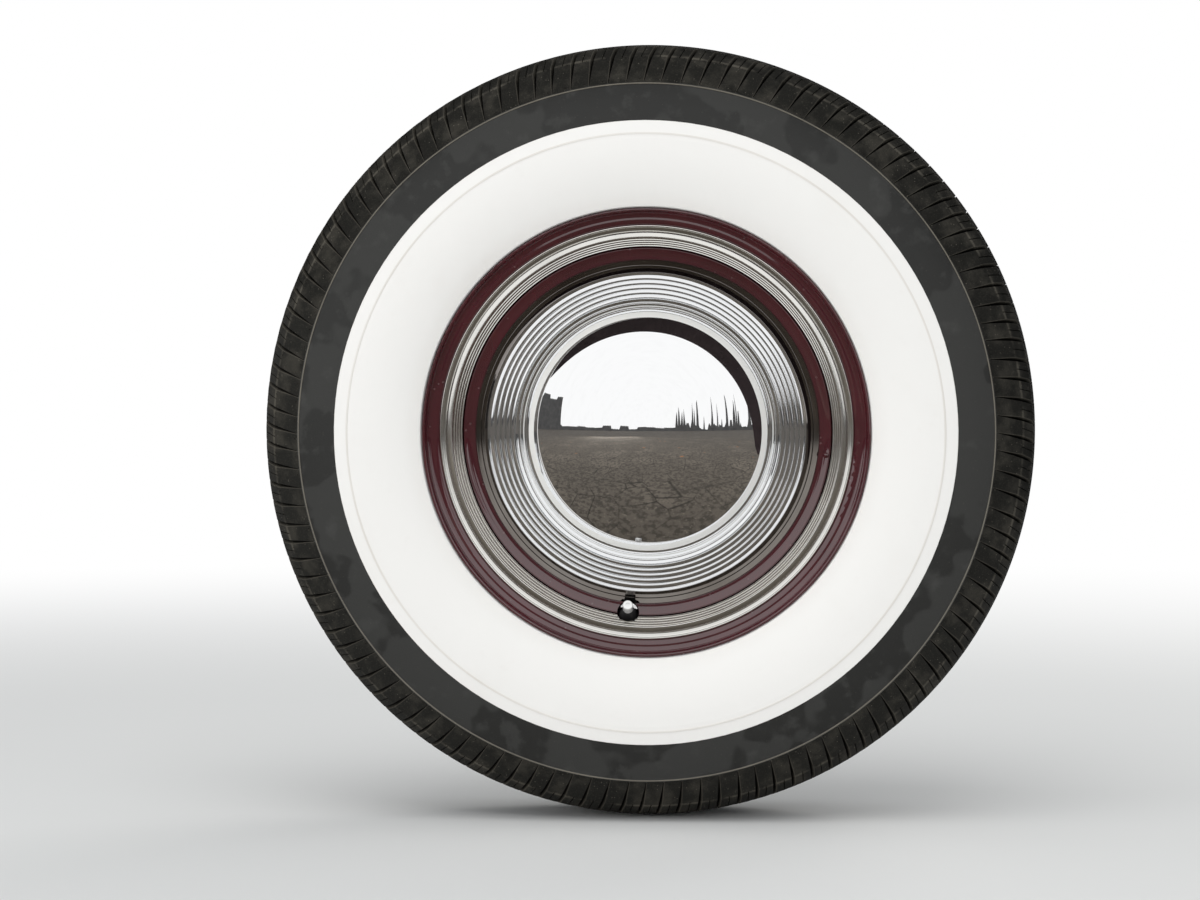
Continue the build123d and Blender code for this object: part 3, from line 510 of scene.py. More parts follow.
def add_mesh(name, vertices, faces, body, material, slot, sharp=32):
    """Makes a piece from vertices and faces, smooth but for edges over sharp degrees, riding on its body."""
    mesh = bpy.data.meshes.new(name)
    mesh.from_pydata([tuple(v) for v in vertices], [], [tuple(int(i) for i in face) for face in faces])
    mesh.validate()
    outward = bmesh.new()
    outward.from_mesh(mesh)
    bmesh.ops.recalc_face_normals(outward, faces=outward.faces[:])
    outward.to_mesh(mesh)
    outward.free()
    mesh.shade_smooth()
    mesh.set_sharp_from_angle(angle=radians(sharp))
    piece = bpy.data.objects.new(name, mesh)
    bpy.context.scene.collection.objects.link(piece)
    mesh.materials.append(material)
    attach(piece, body)
    return piece


def dress(node, material, sharp=32):
    """Gives a CAD node its finish and smooth shading; its shape stays."""
    piece = frame["nodes"][node]
    piece.data.materials.clear()
    piece.data.materials.append(material)
    piece.data.shade_smooth()
    piece.data.set_sharp_from_angle(angle=radians(sharp))
    return piece


def arc_radius(bow, half_chord):
    """Radius of an arc that bows so far over its chord."""
    return (bow**2 + half_chord**2) / (2 * bow)


class Outline:
    """A closed section of (reach, radius) points, traced with lines and arcs."""

    def __init__(self, *points):
        self.points = list(points)

    def line(self, *points):
        self.points += points
        return self

    def arc(self, middle, end, steps=6):
        """Runs on an arc through the middle point to the end."""
        ax, ay = self.points[-1]
        (bx, by), (cx, cy) = middle, end
        first, second, third = ax * ax + ay * ay, bx * bx + by * by, cx * cx + cy * cy
        span = 2 * (ax * (by - cy) + bx * (cy - ay) + cx * (ay - by))
        x = (first * (by - cy) + second * (cy - ay) + third * (ay - by)) / span
        y = (first * (cx - bx) + second * (ax - cx) + third * (bx - ax)) / span
        start = atan2(ay - y, ax - x)
        sweep = (atan2(cy - y, cx - x) - start) % tau
        if (atan2(by - y, bx - x) - start) % tau > sweep:
            sweep -= tau
        size = hypot(ax - x, ay - y)
        for step in range(1, steps + 1):
            bearing = start + sweep * step / steps
            self.points.append((x + size * cos(bearing), y + size * sin(bearing)))
        return self

    def softened(self, size, steps=3):
        """The points, with each corner that is off the axis rounded over at most that size."""
        nearly_straight, most = radians(155), 0.4
        made = []
        for place, point in enumerate(self.points):
            corner = Vector(point)
            before = Vector(self.points[place - 1]) - corner
            after = Vector(self.points[(place + 1) % len(self.points)]) - corner
            if corner.y < MM or before.angle(after) > nearly_straight:
                made.append(point)
                continue
            first = before.normalized() * min(size, most * before.length)
            second = after.normalized() * min(size, most * after.length)
            for step in range(steps + 1):
                share = step / steps
                made.append(tuple(corner + first * (1 - share) ** 2 + second * share**2))
        return made


def turned(points, columns):
    """Vertices and faces of a closed section turned about the spin axis; a point on the axis is a pole."""
    vertices, rings, faces = [], [], []
    for reach, radius in points:
        if radius < MM:
            rings.append([len(vertices)] * columns)
            vertices.append((0.0, CENTRE_Y - reach, 0.0))
        else:
            rings.append(range(len(vertices), len(vertices) + columns))
            vertices += [on_wheel(reach, radius, tau * column / columns) for column in range(columns)]
    for ring, after in zip(rings, rings[1:] + rings[:1]):
        for column in range(columns):
            beside = (column + 1) % columns
            face = tuple(dict.fromkeys((ring[column], after[column], after[beside], ring[beside])))
            if len(face) > 2:
                faces.append(face)
    return vertices, faces


def mirrored(outboard, inboard):
    """A closed section from its outboard and inboard halves, both from the middle back to the middle."""
    return outboard + [(-reach, radius) for reach, radius in inboard[-2:0:-1]]


# The casing's bead as (reach, drop below the rim's lip) in mm: lip, flare, wall, heel, toe, top
BEAD = ((73.0, -0.2), (66.1, 2.6), (63.3, 9.5), (63.3, 13.4), (60.0, 16.9), (42.0, 18.9), (48.0, 6.9))
# The ridge of the mould seam as (rise over the seam, height) in mm
SEAM_RIDGE = ((0.9, 0.0), (0.6, 0.75), (-0.1, 0.75), (-0.8, 0.0))
# Least depth and half width of the cross grooves
LEAST_DEPTH, LEAST_GAP = 0.35 * MM, 0.3 * MM
# Columns of the tread's rows that change sign on the inboard side
REACH, LEAN = 0, 5


class TyreSection:
    """The tyre's outline and tread relief, as the part has them."""

    def __init__(self, s):
        self.s = s
        self.widest = LIP_RADIUS + s.widest_share * (TYRE_RADIUS - LIP_RADIUS)
        self.foot = (LIP_REACH + 2 * MM, LIP_RADIUS + 1.6 * MM)
        self.seam = (TYRE_HALF_WIDTH - s.seam_inset, TYRE_RADIUS - s.seam_drop)
        self.shoulder = (s.tread_half_width, TYRE_RADIUS - s.shoulder_drop)
        self.crown = (s.crown_half_width, TYRE_RADIUS - s.crown_drop)
        self.rib_edge = (s.groove_spacing + s.groove_width / 2, TYRE_RADIUS - s.rib_edge_drop)
        self.base_shoulder = (s.tread_half_width, self.shoulder[1] - s.shoulder_depth)
        self.lower_arc, self.upper_arc = (
            arc_radius(TYRE_HALF_WIDTH - reach, radius - self.widest)
            for reach, radius in (self.foot, self.seam)
        )

    def side(self, radius, inset=0.0):
        """Reach of the sidewall at a radius, less an inset."""
        arc = self.lower_arc if radius < self.widest else self.upper_arc
        return TYRE_HALF_WIDTH - arc + sqrt((arc - inset) ** 2 - (radius - self.widest) ** 2)

    def arched(self, edge, top, steps):
        """Points of the crown arc from its middle to its edge."""
        size = arc_radius(top - edge[1], edge[0])
        return [(reach, top - size + sqrt(size**2 - reach**2)) for reach in np.linspace(0, edge[0], steps)]

    def casing_half(self, white):
        """Half of the casing: under the tread, down the sidewall, round the bead, and back up inside.
        The sidewall is sunk where it carries white rubber."""
        s = self.s
        points = self.arched(self.base_shoulder, TYRE_RADIUS - s.crown_depth, 5)
        seam_radius = self.seam[1]
        for rise, height in SEAM_RIDGE:
            radius = seam_radius + rise * MM
            points.append((self.side(min(radius, seam_radius)) + height * MM, radius))
        below_seam, clearance = seam_radius - 3 * MM, 0.1 * MM
        top = WHITE_RADIUS + clearance
        foot = self.foot[1] + s.white_gap
        sink = s.white_depth + clearance if white else 0.0
        points += [(self.side(radius), radius) for radius in np.linspace(below_seam, top, 8)]
        sunk = np.linspace(top - 2 * clearance, foot + clearance, 18)
        points += [(self.side(radius, sink), radius) for radius in sunk]
        points += [(self.side(foot - clearance), foot - clearance), self.foot]

        lip, flare, *bead_wall, bead_top = ((reach * MM, LIP_RADIUS - drop * MM) for reach, drop in BEAD)
        inner_widest = (TYRE_HALF_WIDTH - s.wall, self.widest)
        inner_low = (TYRE_HALF_WIDTH - 2.2 * s.wall, (bead_top[1] + self.widest) / 2)
        bead = Outline(lip).arc(flare, bead_wall[0]).line(*bead_wall[1:], bead_top)
        points += bead.arc(inner_low, inner_widest).points

        inner_shoulder = (s.tread_half_width, self.base_shoulder[1] - 8.5 * MM)
        up = inner_shoulder[1] - self.widest
        arc = arc_radius(inner_widest[0] - inner_shoulder[0], up)
        for share in (0.25, 0.5, 0.75, 1.0):
            bow = arc - sqrt(arc**2 - (share * up) ** 2)
            points.append((inner_widest[0] - bow, self.widest + share * up))
        points += self.arched(inner_shoulder, TYRE_RADIUS - s.crown_depth - s.wall, 5)[-2::-1]
        return points

    def slot(self, reach, radius):
        """Depth, half width and shift in pitches of the groove between blocks."""
        s = self.s
        across = self.seam[0] - self.rib_edge[0]
        up = self.rib_edge[1] - s.slot_floor_drop - self.seam[1]
        share = (self.seam[0] - reach) / across
        deep = max(radius - (self.seam[1] + share * up), LEAST_DEPTH)
        half = max(deep * cos(atan(up / across)) * tan(s.slot_half_angle), LEAST_GAP)
        return deep, half, s.slot_seam_shift + share * (s.slot_crown_shift - s.slot_seam_shift)

    def tread_half(self):
        """Rows (reach, radius, relief, cut, gap, lean, sipe, zigzag) from the seam to the middle groove."""
        s = self.s
        rows = []
        flank = [(self.seam, self.shoulder, share) for share in (0.03, 0.1, 0.25, 0.45, 0.65, 0.85, 0.96)]
        flank += [(self.shoulder, self.crown, share) for share in (0.04, 0.5, 0.92)]
        flank += [(self.crown, self.rib_edge, share) for share in (0.08, 0.55)]
        rows.append((*self.seam, 0.0, 0.0, LEAST_GAP, s.slot_seam_shift, 0.0, 0.0))
        for start, end, share in flank:
            reach, radius = (a + share * (b - a) for a, b in zip(start, end))
            sipe = s.sipe_depth if reach < self.shoulder[0] else 0.0
            rows.append((reach, radius, 0.0, *self.slot(reach, radius), sipe, 0.0))
        edge, width, zig = self.rib_edge[0], s.groove_width, s.zigzag
        draft, cross_half, rib_half = 0.4 * MM, 0.7 * MM, 0.4 * MM
        cross = s.slot_floor_drop, cross_half, s.slot_crown_shift
        rows.append((edge, TYRE_RADIUS - s.rib_edge_drop, 0.0, *cross, s.sipe_depth, zig))
        rows.append((edge - draft, TYRE_RADIUS - s.rib_edge_drop, s.groove_depth, *cross, 0.0, zig))
        for reach, relief, wave, sipe in (
            (edge - width + draft, s.groove_depth, zig, 0.0),
            (edge - width, 0.0, zig, s.sipe_depth),
            (0.72 * s.groove_spacing, 0.0, 0.3 * zig, s.sipe_depth),
            (0.5 * s.groove_spacing, 0.0, 0.0, s.sipe_depth),
            (0.28 * s.groove_spacing, 0.0, 0.3 * zig, s.sipe_depth),
            (width / 2, 0.0, zig, s.sipe_depth),
            (width / 2 - draft, s.groove_depth, zig, 0.0),
        ):
            drop = s.rib_edge_drop * (reach / edge) ** 2
            rows.append((reach, TYRE_RADIUS - drop, relief, 0.0, rib_half, 0.0, sipe, wave))
        return rows

    def tread_rows(self):
        """Rows of the whole tread: outboard half, its mirror image, and the flat underside."""
        outboard = np.array(self.tread_half())
        inboard = outboard[::-1].copy()
        inboard[:, (REACH, LEAN)] *= -1
        base = self.arched(self.base_shoulder, TYRE_RADIUS - self.s.crown_depth, 3)
        under = [(-reach, radius) for reach, radius in base[::-1]] + base[1:]
        flat = [(reach, radius, 0, 0, LEAST_GAP, 0, 0, 0) for reach, radius in under]
        return np.vstack([outboard, inboard, flat])


# Tread columns of one pitch: share of the pitch, offset in groove half widths and in mm, and whether
# the groove's floor, the sipe or a block's edge runs there
TREAD_COLUMNS = np.array(
    [
        (0.00, -1.0, -0.7, 0, 0, 0),
        (0.00, -1.0, 0.0, 0, 0, 1),
        (0.00, -0.2, 0.0, 1, 0, 0),
        (0.00, 0.2, 0.0, 1, 0, 0),
        (0.00, 1.0, 0.0, 0, 0, 1),
        (0.00, 1.0, 0.7, 0, 0, 0),
        (0.30, 0.0, 0.0, 0, 0, 0),
        (0.50, 0.0, -0.5, 0, 0, 0),
        (0.50, 0.0, -0.4, 0, 1, 0),
        (0.50, 0.0, 0.4, 0, 1, 0),
        (0.50, 0.0, 0.5, 0, 0, 0),
        (0.75, 0.0, 0.0, 0, 0, 0),
    ]
)
PITCH_LENGTHS = (0.95, 1.0, 1.05, 1.0, 1.06, 0.94)


def tread_grid(s):
    """Vertices, groove shadows and block edges of the tread: the rows by the columns of every pitch."""
    rows = TyreSection(s).tread_rows()
    reach, radius, relief, cut, gap, lean, sipe, zigzag = (column[:, None] for column in rows.T)
    share, gaps, offset, on_floor, on_sipe, on_edge = TREAD_COLUMNS.T
    lengths = np.tile(PITCH_LENGTHS, s.pitch_sets)
    spans = lengths * tau / lengths.sum()
    starts = np.cumsum(spans) - spans

    def all_round(pitch):
        return np.tile(pitch, (1, len(spans)))

    turn = (starts[:, None] + spans[:, None] * share).reshape(1, -1)
    turn = turn + all_round(gaps * gap + offset * MM) / radius + lean * tau / len(spans)
    depth = relief + on_edge * ((cut > 0) & (relief == 0)) * LEAST_DEPTH
    depth = np.maximum(depth, on_floor * cut)
    depth = all_round(np.maximum(depth, on_sipe * sipe))
    # From -1 to 1 and back over each pitch
    wave = np.abs(((share + 0.5) % 1.0) - 0.5) * 4 - 1
    across = reach + all_round(wave * zigzag)
    grid = np.stack(on_wheel(across, radius - depth, turn), axis=-1)
    shadow = np.maximum(depth / s.groove_depth, all_round(on_floor * (cut > 0)))
    edge = all_round(on_edge * (cut > 0) * (gaps > 0))
    return grid, shadow, edge


def grid_faces(count_rows, count_columns):
    """Quads of a grid that closes on itself both ways."""
    row, column = np.meshgrid(np.arange(count_rows), np.arange(count_columns), indexing="ij")
    next_row, next_column = (row + 1) % count_rows, (column + 1) % count_columns
    corners = (
        row * count_columns + column,
        next_row * count_columns + column,
        next_row * count_columns + next_column,
        row * count_columns + next_column,
    )
    return np.stack([corner.ravel() for corner in corners], axis=-1)


def add_nub(vertices, faces, centre, out, foot, height, sides=6):
    """Adds a small blunt cone that stands on a surface, sunk a little into it."""
    first = out.orthogonal().normalized()
    second = out.cross(first)
    start = len(vertices)
    for wide, high in ((1.0, -0.4), (0.75, 0.7)):
        for corner in range(sides):
            bearing = tau * corner / sides
            spoke = first * cos(bearing) + second * sin(bearing)
            vertices.append(centre + spoke * foot * wide + out * height * high)
    vertices.append(centre + out * height)
    for corner in range(sides):
        after = (corner + 1) % sides
        faces.append((start + corner, start + after, start + sides + after, start + sides + corner))
        faces.append((start + sides + corner, start + sides + after, start + 2 * sides))
    faces.append(tuple(start + corner for corner in reversed(range(sides))))


def vent_nubs(s):
    """Little spews of rubber from the mould's vents, at the foot and the top of each shoulder block."""
    section = TyreSection(s)
    low, high, share = 0.16, 0.97, 0.28
    foot, height = 0.75 * MM, 0.9 * MM
    slope = atan((section.seam[0] - section.shoulder[0]) / (section.shoulder[1] - section.seam[1]))
    pitches = s.pitch_sets * len(PITCH_LENGTHS)
    vertices, faces = [], []
    for side in (1, -1):
        for block, along in ((block, along) for block in range(pitches) for along in (low, high)):
            reach, radius = (a + along * (b - a) for a, b in zip(section.seam, section.shoulder))
            lean = section.slot(reach, radius)[2]
            turn = (block + share + side * lean) * tau / pitches
            centre = Vector(on_wheel(side * reach, radius, turn))
            out = Vector((sin(slope) * cos(turn), -side * cos(slope), sin(slope) * sin(turn)))
            add_nub(vertices, faces, centre, out, foot, height)
    return vertices, faces


def dome_outline():
    """A plain crown, as thick as its sheet, with a short square edge."""
    floor, edge, wall, steps = CENTRE_Y - DOME_HIGH.y, 0.8 * MM, 1.2 * MM, 40
    foot, apex = DOME_HIGH.z, CENTRE_Y - DOME_LOW.y
    size = arc_radius(apex - floor - edge, foot)
    outline = Outline((floor, foot - wall), (floor, foot), (floor + edge, foot))
    for sphere, start, end in ((size, foot, 0.0), (size - wall, 0.0, foot - wall)):
        for step in range(1, steps + 1):
            bearing = asin(start / sphere) + (asin(end / sphere) - asin(start / sphere)) * step / steps
            outline.line((apex - size + sphere * cos(bearing), sphere * sin(bearing)))
        if end == 0.0:
            outline.line((apex - wall, 0.0))
    return outline.softened(0.4 * MM)


def cap_outline():
    """Steep band with a line, ribs that each end in a riser, bead, groove and floor."""
    wall, edge = 1.2 * MM, CAP_REACH
    skirt, line, brink, valley = (edge + rise * MM for rise in (1.0, 5.2, 9.5, 6.3))
    radius, line_radius, brink_radius, valley_radius = (
        DISC_RADIUS - inset * MM for inset in (10.8, 16.7, 23.3, 25.7)
    )
    line_half, line_depth = 0.3 * MM, 0.7 * MM
    ribs = 5
    pitch, drop, lean, crown, riser = (size * MM for size in (4.72, 2.9, 0.8, 0.2, 0.9))
    bead_drop, bead_inset, bead_half = 1.8 * MM, 3.8 * MM, 1.0 * MM
    floor_drop, floor_width, groove_inset, groove_slope = (size * MM for size in (5.9, 15.1, 2.1, 3.6))

    outline = Outline((edge, radius), (skirt, radius), (line, line_radius + line_half))
    outline.line((line - line_depth, line_radius), (line, line_radius - line_half))
    outline.line((brink, brink_radius), (valley, valley_radius))
    for rib in range(ribs):
        reach, top = valley - rib * drop, valley_radius - rib * pitch
        foot = top - pitch
        crest = (reach + lean / 2 + crown, (top + foot + riser) / 2)
        outline.arc(crest, (reach + lean, foot + riser), 4).line((reach - drop, foot))
    inner, inner_radius = outline.points[-1]
    bead, bead_radius = inner - bead_drop, inner_radius - bead_inset
    outline.line((bead, bead_radius + bead_half))
    outline.arc((bead + bead_half, bead_radius), (bead, bead_radius - bead_half))
    floor, groove = inner - floor_drop, bead_radius - groove_inset
    outline.line((floor + groove_slope, groove), (floor, groove - groove_slope))
    outline.line((floor, groove - floor_width), (floor - wall, groove - floor_width))
    outline.line((floor - wall, groove - groove_slope + wall / 2), (bead - wall, bead_radius))
    outline.line((inner - wall, inner_radius), (valley - wall, valley_radius), (brink - wall, brink_radius))
    outline.line((line - line_depth - wall, line_radius), (skirt, radius - wall), (edge, radius - wall))
    return outline.softened(0.45 * MM)


def ring_outline():
    """Bead, groove that faces in, broad bowed band, and fine steps down to the disc."""
    wall, bead, groove_width, band_width = 0.9 * MM, 1.2 * MM, 4.0 * MM, 7.2 * MM
    reach, outer = LIP_REACH - 10.0 * MM, SEAT_RADIUS + 0.8 * MM
    bead_in = outer - 2 * bead
    groove_in = bead_in - groove_width
    band_in = groove_in - band_width
    groove_floor, band_start, crest, band_end = (reach + rise * MM for rise in (-1.5, -0.7, 0.9, 1.0))
    outline = Outline((reach, outer)).arc((reach + bead, outer - bead), (reach, bead_in), 8)
    outline.line((groove_floor, groove_in + 0.7 * MM), (band_start, groove_in))
    outline.arc((crest, groove_in - 3.4 * MM), (band_end, band_in + 0.9 * MM), 12)
    top, foot, foot_in = reach - 4.0 * MM, reach - 18.3 * MM, DISC_RADIUS + 1.7 * MM
    outline.line((top, band_in))
    steps, tread, lean = 4, 1.3 * MM, 0.2 * MM
    step_width, step_drop = (band_in - foot_in) / steps, (top - foot) / steps
    for step in range(steps):
        last, radius = top - step * step_drop, band_in - step * step_width
        outline.line((last + lean, radius - tread), (last - step_drop, radius - step_width))
    back = reach - 1.9 * MM
    outline.line((foot, foot_in + wall), (top - wall, band_in + wall / 2), (back, groove_in))
    outline.line((back, bead_in), (band_start, outer))
    return outline.softened(0.3 * MM)


def disc_band_outline():
    """Shallow bowl, pressed round the disc's face between hub cap and trim ring."""
    face, outer, inner = CAP_REACH - 0.4 * MM, DISC_RADIUS + 1.2 * MM, DISC_RADIUS - 10.3 * MM
    start, bowl, brim, curl, end = (face + rise * MM for rise in (0.6, 1.0, 2.3, 2.2, 1.3))
    outline = Outline((face, inner), (start, inner))
    outline.arc((bowl, (inner + outer) / 2), (brim, outer - 1.6 * MM))
    outline.arc((curl, outer - 0.5 * MM), (end, outer)).line((face, outer))
    return outline.softened(0.2 * MM)


def cut_for_valve(piece, s):
    """Notches a turned piece where the valve comes through it."""
    foot_reach, foot_radius, length, sides = 32.5 * MM, 187.6 * MM, 90 * MM, 64
    foot = Vector(on_wheel(foot_reach, foot_radius, s.valve_turn))
    tip = Vector(on_wheel(foot_reach + cos(s.valve_lean), foot_radius - sin(s.valve_lean), s.valve_turn))
    place = Matrix.Translation(foot) @ (tip - foot).to_track_quat("Z", "Y").to_matrix().to_4x4()
    tunnel = bpy.data.meshes.new("valve_tunnel")
    shape = bmesh.new()
    size = {"radius1": s.valve_room, "radius2": s.valve_room, "depth": length}
    bmesh.ops.create_cone(shape, cap_ends=True, segments=sides, matrix=place, **size)
    shape.to_mesh(tunnel)
    shape.free()
    cutter = bpy.data.objects.new("valve_tunnel", tunnel)
    bpy.context.scene.collection.objects.link(cutter)
    cut = piece.modifiers.new("valve", "BOOLEAN")
    cut.operation, cut.solver, cut.object = "DIFFERENCE", "EXACT", cutter
    whole = piece.data
    made = piece.evaluated_get(bpy.context.evaluated_depsgraph_get())
    piece.data = bpy.data.meshes.new_from_object(made)
    piece.data.name = whole.name
    piece.modifiers.clear()
    bpy.data.meshes.remove(whole)
    bpy.data.objects.remove(cutter)
    bpy.data.meshes.remove(tunnel)


# Pieces


class WHEEL_OT_tyre(bpy.types.Operator):
    """Builds the casing and the tread, and dresses the white rubber"""

    bl_idname = "wheel.tyre"
    bl_label = "Tyre and whitewall"

    def execute(self, context):
        s = context.scene.wheel_tyre
        section = TyreSection(s)
        outline = mirrored(section.casing_half(white=True), section.casing_half(white=False))
        shape = turned(outline, COLUMNS)
        casing = add_mesh("tyre_casing", *shape, WHEEL, sidewall_finish(s), "tyre_rubber")
        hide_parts("tyre")
        rubber = tread_finish(s)
        grid, shadow, edge = tread_grid(s)
        faces = grid_faces(*edge.shape)
        points = grid.reshape(-1, 3)
        tread = add_mesh("tyre_treaded", points, faces, WHEEL, rubber, "tyre_rubber", sharp=28)
        for name, values in (("groove", shadow), ("edge", edge)):
            field = tread.data.attributes.new(name, "FLOAT", "POINT")
            field.data.foreach_set("value", np.clip(values, 0, 1).astype(np.float32).ravel())
        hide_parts("tyre_tread")
        add_mesh("tyre_vent_nubs", *vent_nubs(s), WHEEL, rubber, "tyre_rubber")
        dress("whitewall", white_finish(s))
        return {"FINISHED"}


class WHEEL_OT_wheel(bpy.types.Operator):
    """Paints the rim and disc, with the disc's bowl and stub, and finishes the bolts and the valve"""

    bl_idname = "wheel.wheel"
    bl_label = "Painted wheel and valve"

    def execute(self, context):
        s = context.scene.wheel_finish
        paint = paint_finish(s)
        for node in ("rim", "wheel_disc"):
            dress(node, paint)
        shape = turned(disc_band_outline(), COLUMNS)
        band = add_mesh("disc_band", *shape, WHEEL, paint, "maroon_paint")
        cut_for_valve(band, s)
        vertices, faces = [], []
        turn, foot, height = radians(-7.3), 3.2 * MM, 3.4 * MM
        place = Vector(on_wheel(CAP_REACH + 0.6 * MM, DISC_RADIUS - 2.8 * MM, turn))
        outward = Vector((0, -1, 0))
        add_nub(vertices, faces, place, outward, foot, height, sides=20)
        add_mesh("disc_nub", vertices, faces, WHEEL, paint, "maroon_paint", sharp=60)
        dress("wheel_bolts", steel_finish("plated_steel", s.steel, tarnish=0.5))
        dress("valve_cap", steel_finish("bright_nickel", s.nickel, tarnish=0.1, metal=0.45))
        dress("valve_stem", valve_finish())
        return {"FINISHED"}


class WHEEL_OT_trim(bpy.types.Operator):
    """Turns and polishes the trim ring, the hub cap and its dome"""

    bl_idname = "wheel.trim"
    bl_label = "Trim ring and hub cap"

    def execute(self, context):
        s = context.scene.wheel_finish
        for node, name, outline, columns, finish in (
            ("trim_ring", "trim_ring_turned", ring_outline(), FINE_COLUMNS, stainless_finish(s)),
            ("hub_cap", "hub_cap_ribbed", cap_outline(), FINE_COLUMNS, chrome_finish(s)),
            ("hub_cap_dome", "hub_cap_crown", dome_outline(), COLUMNS, dome_finish(s)),
        ):
            piece = add_mesh(name, *turned(outline, columns), WHEEL, finish, "bright_trim")
            if node == "trim_ring":
                cut_for_valve(piece, s)
            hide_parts(node)
        return {"FINISHED"}


class WHEEL_OT_running_gear(bpy.types.Operator):
    """Finishes the hub, brake drum, backing plate, knuckle and steering arm"""

    bl_idname = "wheel.running_gear"
    bl_label = "Hub, brake and knuckle"

    def execute(self, context):
        s = context.scene.wheel_finish
        forged = chassis_finish(s, "forged_skin", grit=260)
        for node in ("steering_knuckle", "steering_arm", "hub"):
            dress(node, forged)
        dress("backing_plate", chassis_finish(s, "pressed_plate", grit=90))
        dress("brake_drum", iron_finish(s))
        bolts = steel_finish("dull_steel", s.steel, tarnish=1.0)
        for node in ("knuckle_bolts", "plate_fittings"):
            dress(node, bolts)
        return {"FINISHED"}


# Stage

# How far the level sheets run
FAR = 20


def stage_sheet(name, vertices, faces, material, camera_sees):
    """A stage piece. One that the camera doesn't see shows in reflections only."""
    mesh = bpy.data.meshes.new(name)
    mesh.from_pydata(vertices, [], faces)
    mesh.materials.append(material)
    sheet = bpy.data.objects.new(name, mesh)
    bpy.context.scene.collection.objects.link(sheet)
    for ray in ("camera", "diffuse", "shadow", "transmission", "volume_scatter"):
        setattr(sheet, f"visible_{ray}", camera_sees)
    return sheet


def flat_sheet(name, y_high, z, material, camera_sees):
    """A level sheet that runs far out, and up to y_high on the car's side."""
    corners = [(-FAR, -FAR, z), (FAR, -FAR, z), (FAR, y_high, z), (-FAR, y_high, z)]
    return stage_sheet(name, corners, [(0, 1, 2, 3)], material, camera_sees)


def ribbon(name, edges, material):
    """A strip between pairs of points that shows in reflections only."""
    vertices = [point for edge in edges for point in edge]
    faces = [(2 * i, 2 * i + 1, 2 * i + 3, 2 * i + 2) for i in range(len(edges) - 1)]
    return stage_sheet(name, vertices, faces, material, False)


def area_light(name, place, target, size, watts, tint):
    """A soft lamp that mirrors don't show."""
    light = bpy.data.lights.new(name, "AREA")
    light.shape = "RECTANGLE"
    light.size, light.size_y = size
    light.energy = watts
    light.color = tint
    lamp = bpy.data.objects.new(name, light)
    lamp.location = place
    lamp.rotation_euler = (Vector(target) - Vector(place)).to_track_quat("-Z", "Y").to_euler()
    lamp.visible_glossy = False
    bpy.context.scene.collection.objects.link(lamp)
    return lamp


def shown_rays(finish):
    """1 for the rays that show a background: from the camera, off metal or through glass."""
    kinds = ("Camera", "Glossy", "Transmission")
    camera, glossy, transmission = (
        finish.node("ShaderNodeLightPath", output=f"Is {kind} Ray") for kind in kinds
    )
    return camera + glossy + transmission


def floor_finish(s):
    """Pale floor that keeps its shadows near the wheel and is white far from it."""
    f = Finish("studio_floor")
    tint = f.mix(s.floor, shade(s.floor, 0.97), f.noise(1.3, 4.0))
    near = f.shader(tint, 0.62 + f.noise(9.0, 3.0) * 0.1, specular_ior_level=0.0)
    white = f.node("ShaderNodeEmission", {}, {"Color": (1.0, 1.0, 1.0), "Strength": 1.0})
    away = (f.axis("X") ** 2 + f.axis("Y") ** 2) ** 0.5
    fade_start, fade_end = 0.9, 3.2
    share = away.step(fade_start, fade_end) * shown_rays(f)
    both = f.node("ShaderNodeMixShader", {}, {0: share, 1: near, 2: white})
    f.node("ShaderNodeOutputMaterial", {}, {"Surface": both})
    return f.material


def ground_finish(s):
    """Worn dark paving, cracked, as the dome mirrors it."""
    f = Finish("ground_card")
    cloud = f.noise(2.2, 5.0)
    grit = f.noise(38, 4.0)
    cells = {"Vector": f.place, "Scale": 5.5}
    edge = f.node("ShaderNodeTexVoronoi", {"feature": "DISTANCE_TO_EDGE"}, cells, "Distance")
    crack = 1 - edge.step(0.0, 0.03)
    base = f.mix(s.ground, shade(s.ground, 1.5), cloud.step(0.4, 0.7))
    base = f.mix(base, shade(s.ground, 0.4), grit.step(0.42, 0.62) * 0.8)
    base = f.mix(base, shade(s.ground, 2.2), f.noise(70, 3.0).step(0.60, 0.72) * 0.5)
    base = f.mix(base, shade(s.ground, 0.2), crack * cloud.step(0.30, 0.55) * 0.9)
    base = f.mix(base, (0.40, 0.17, 0.06), f.specks(7, 0.05) * 0.8)
    return f.surface(base, 0.9)


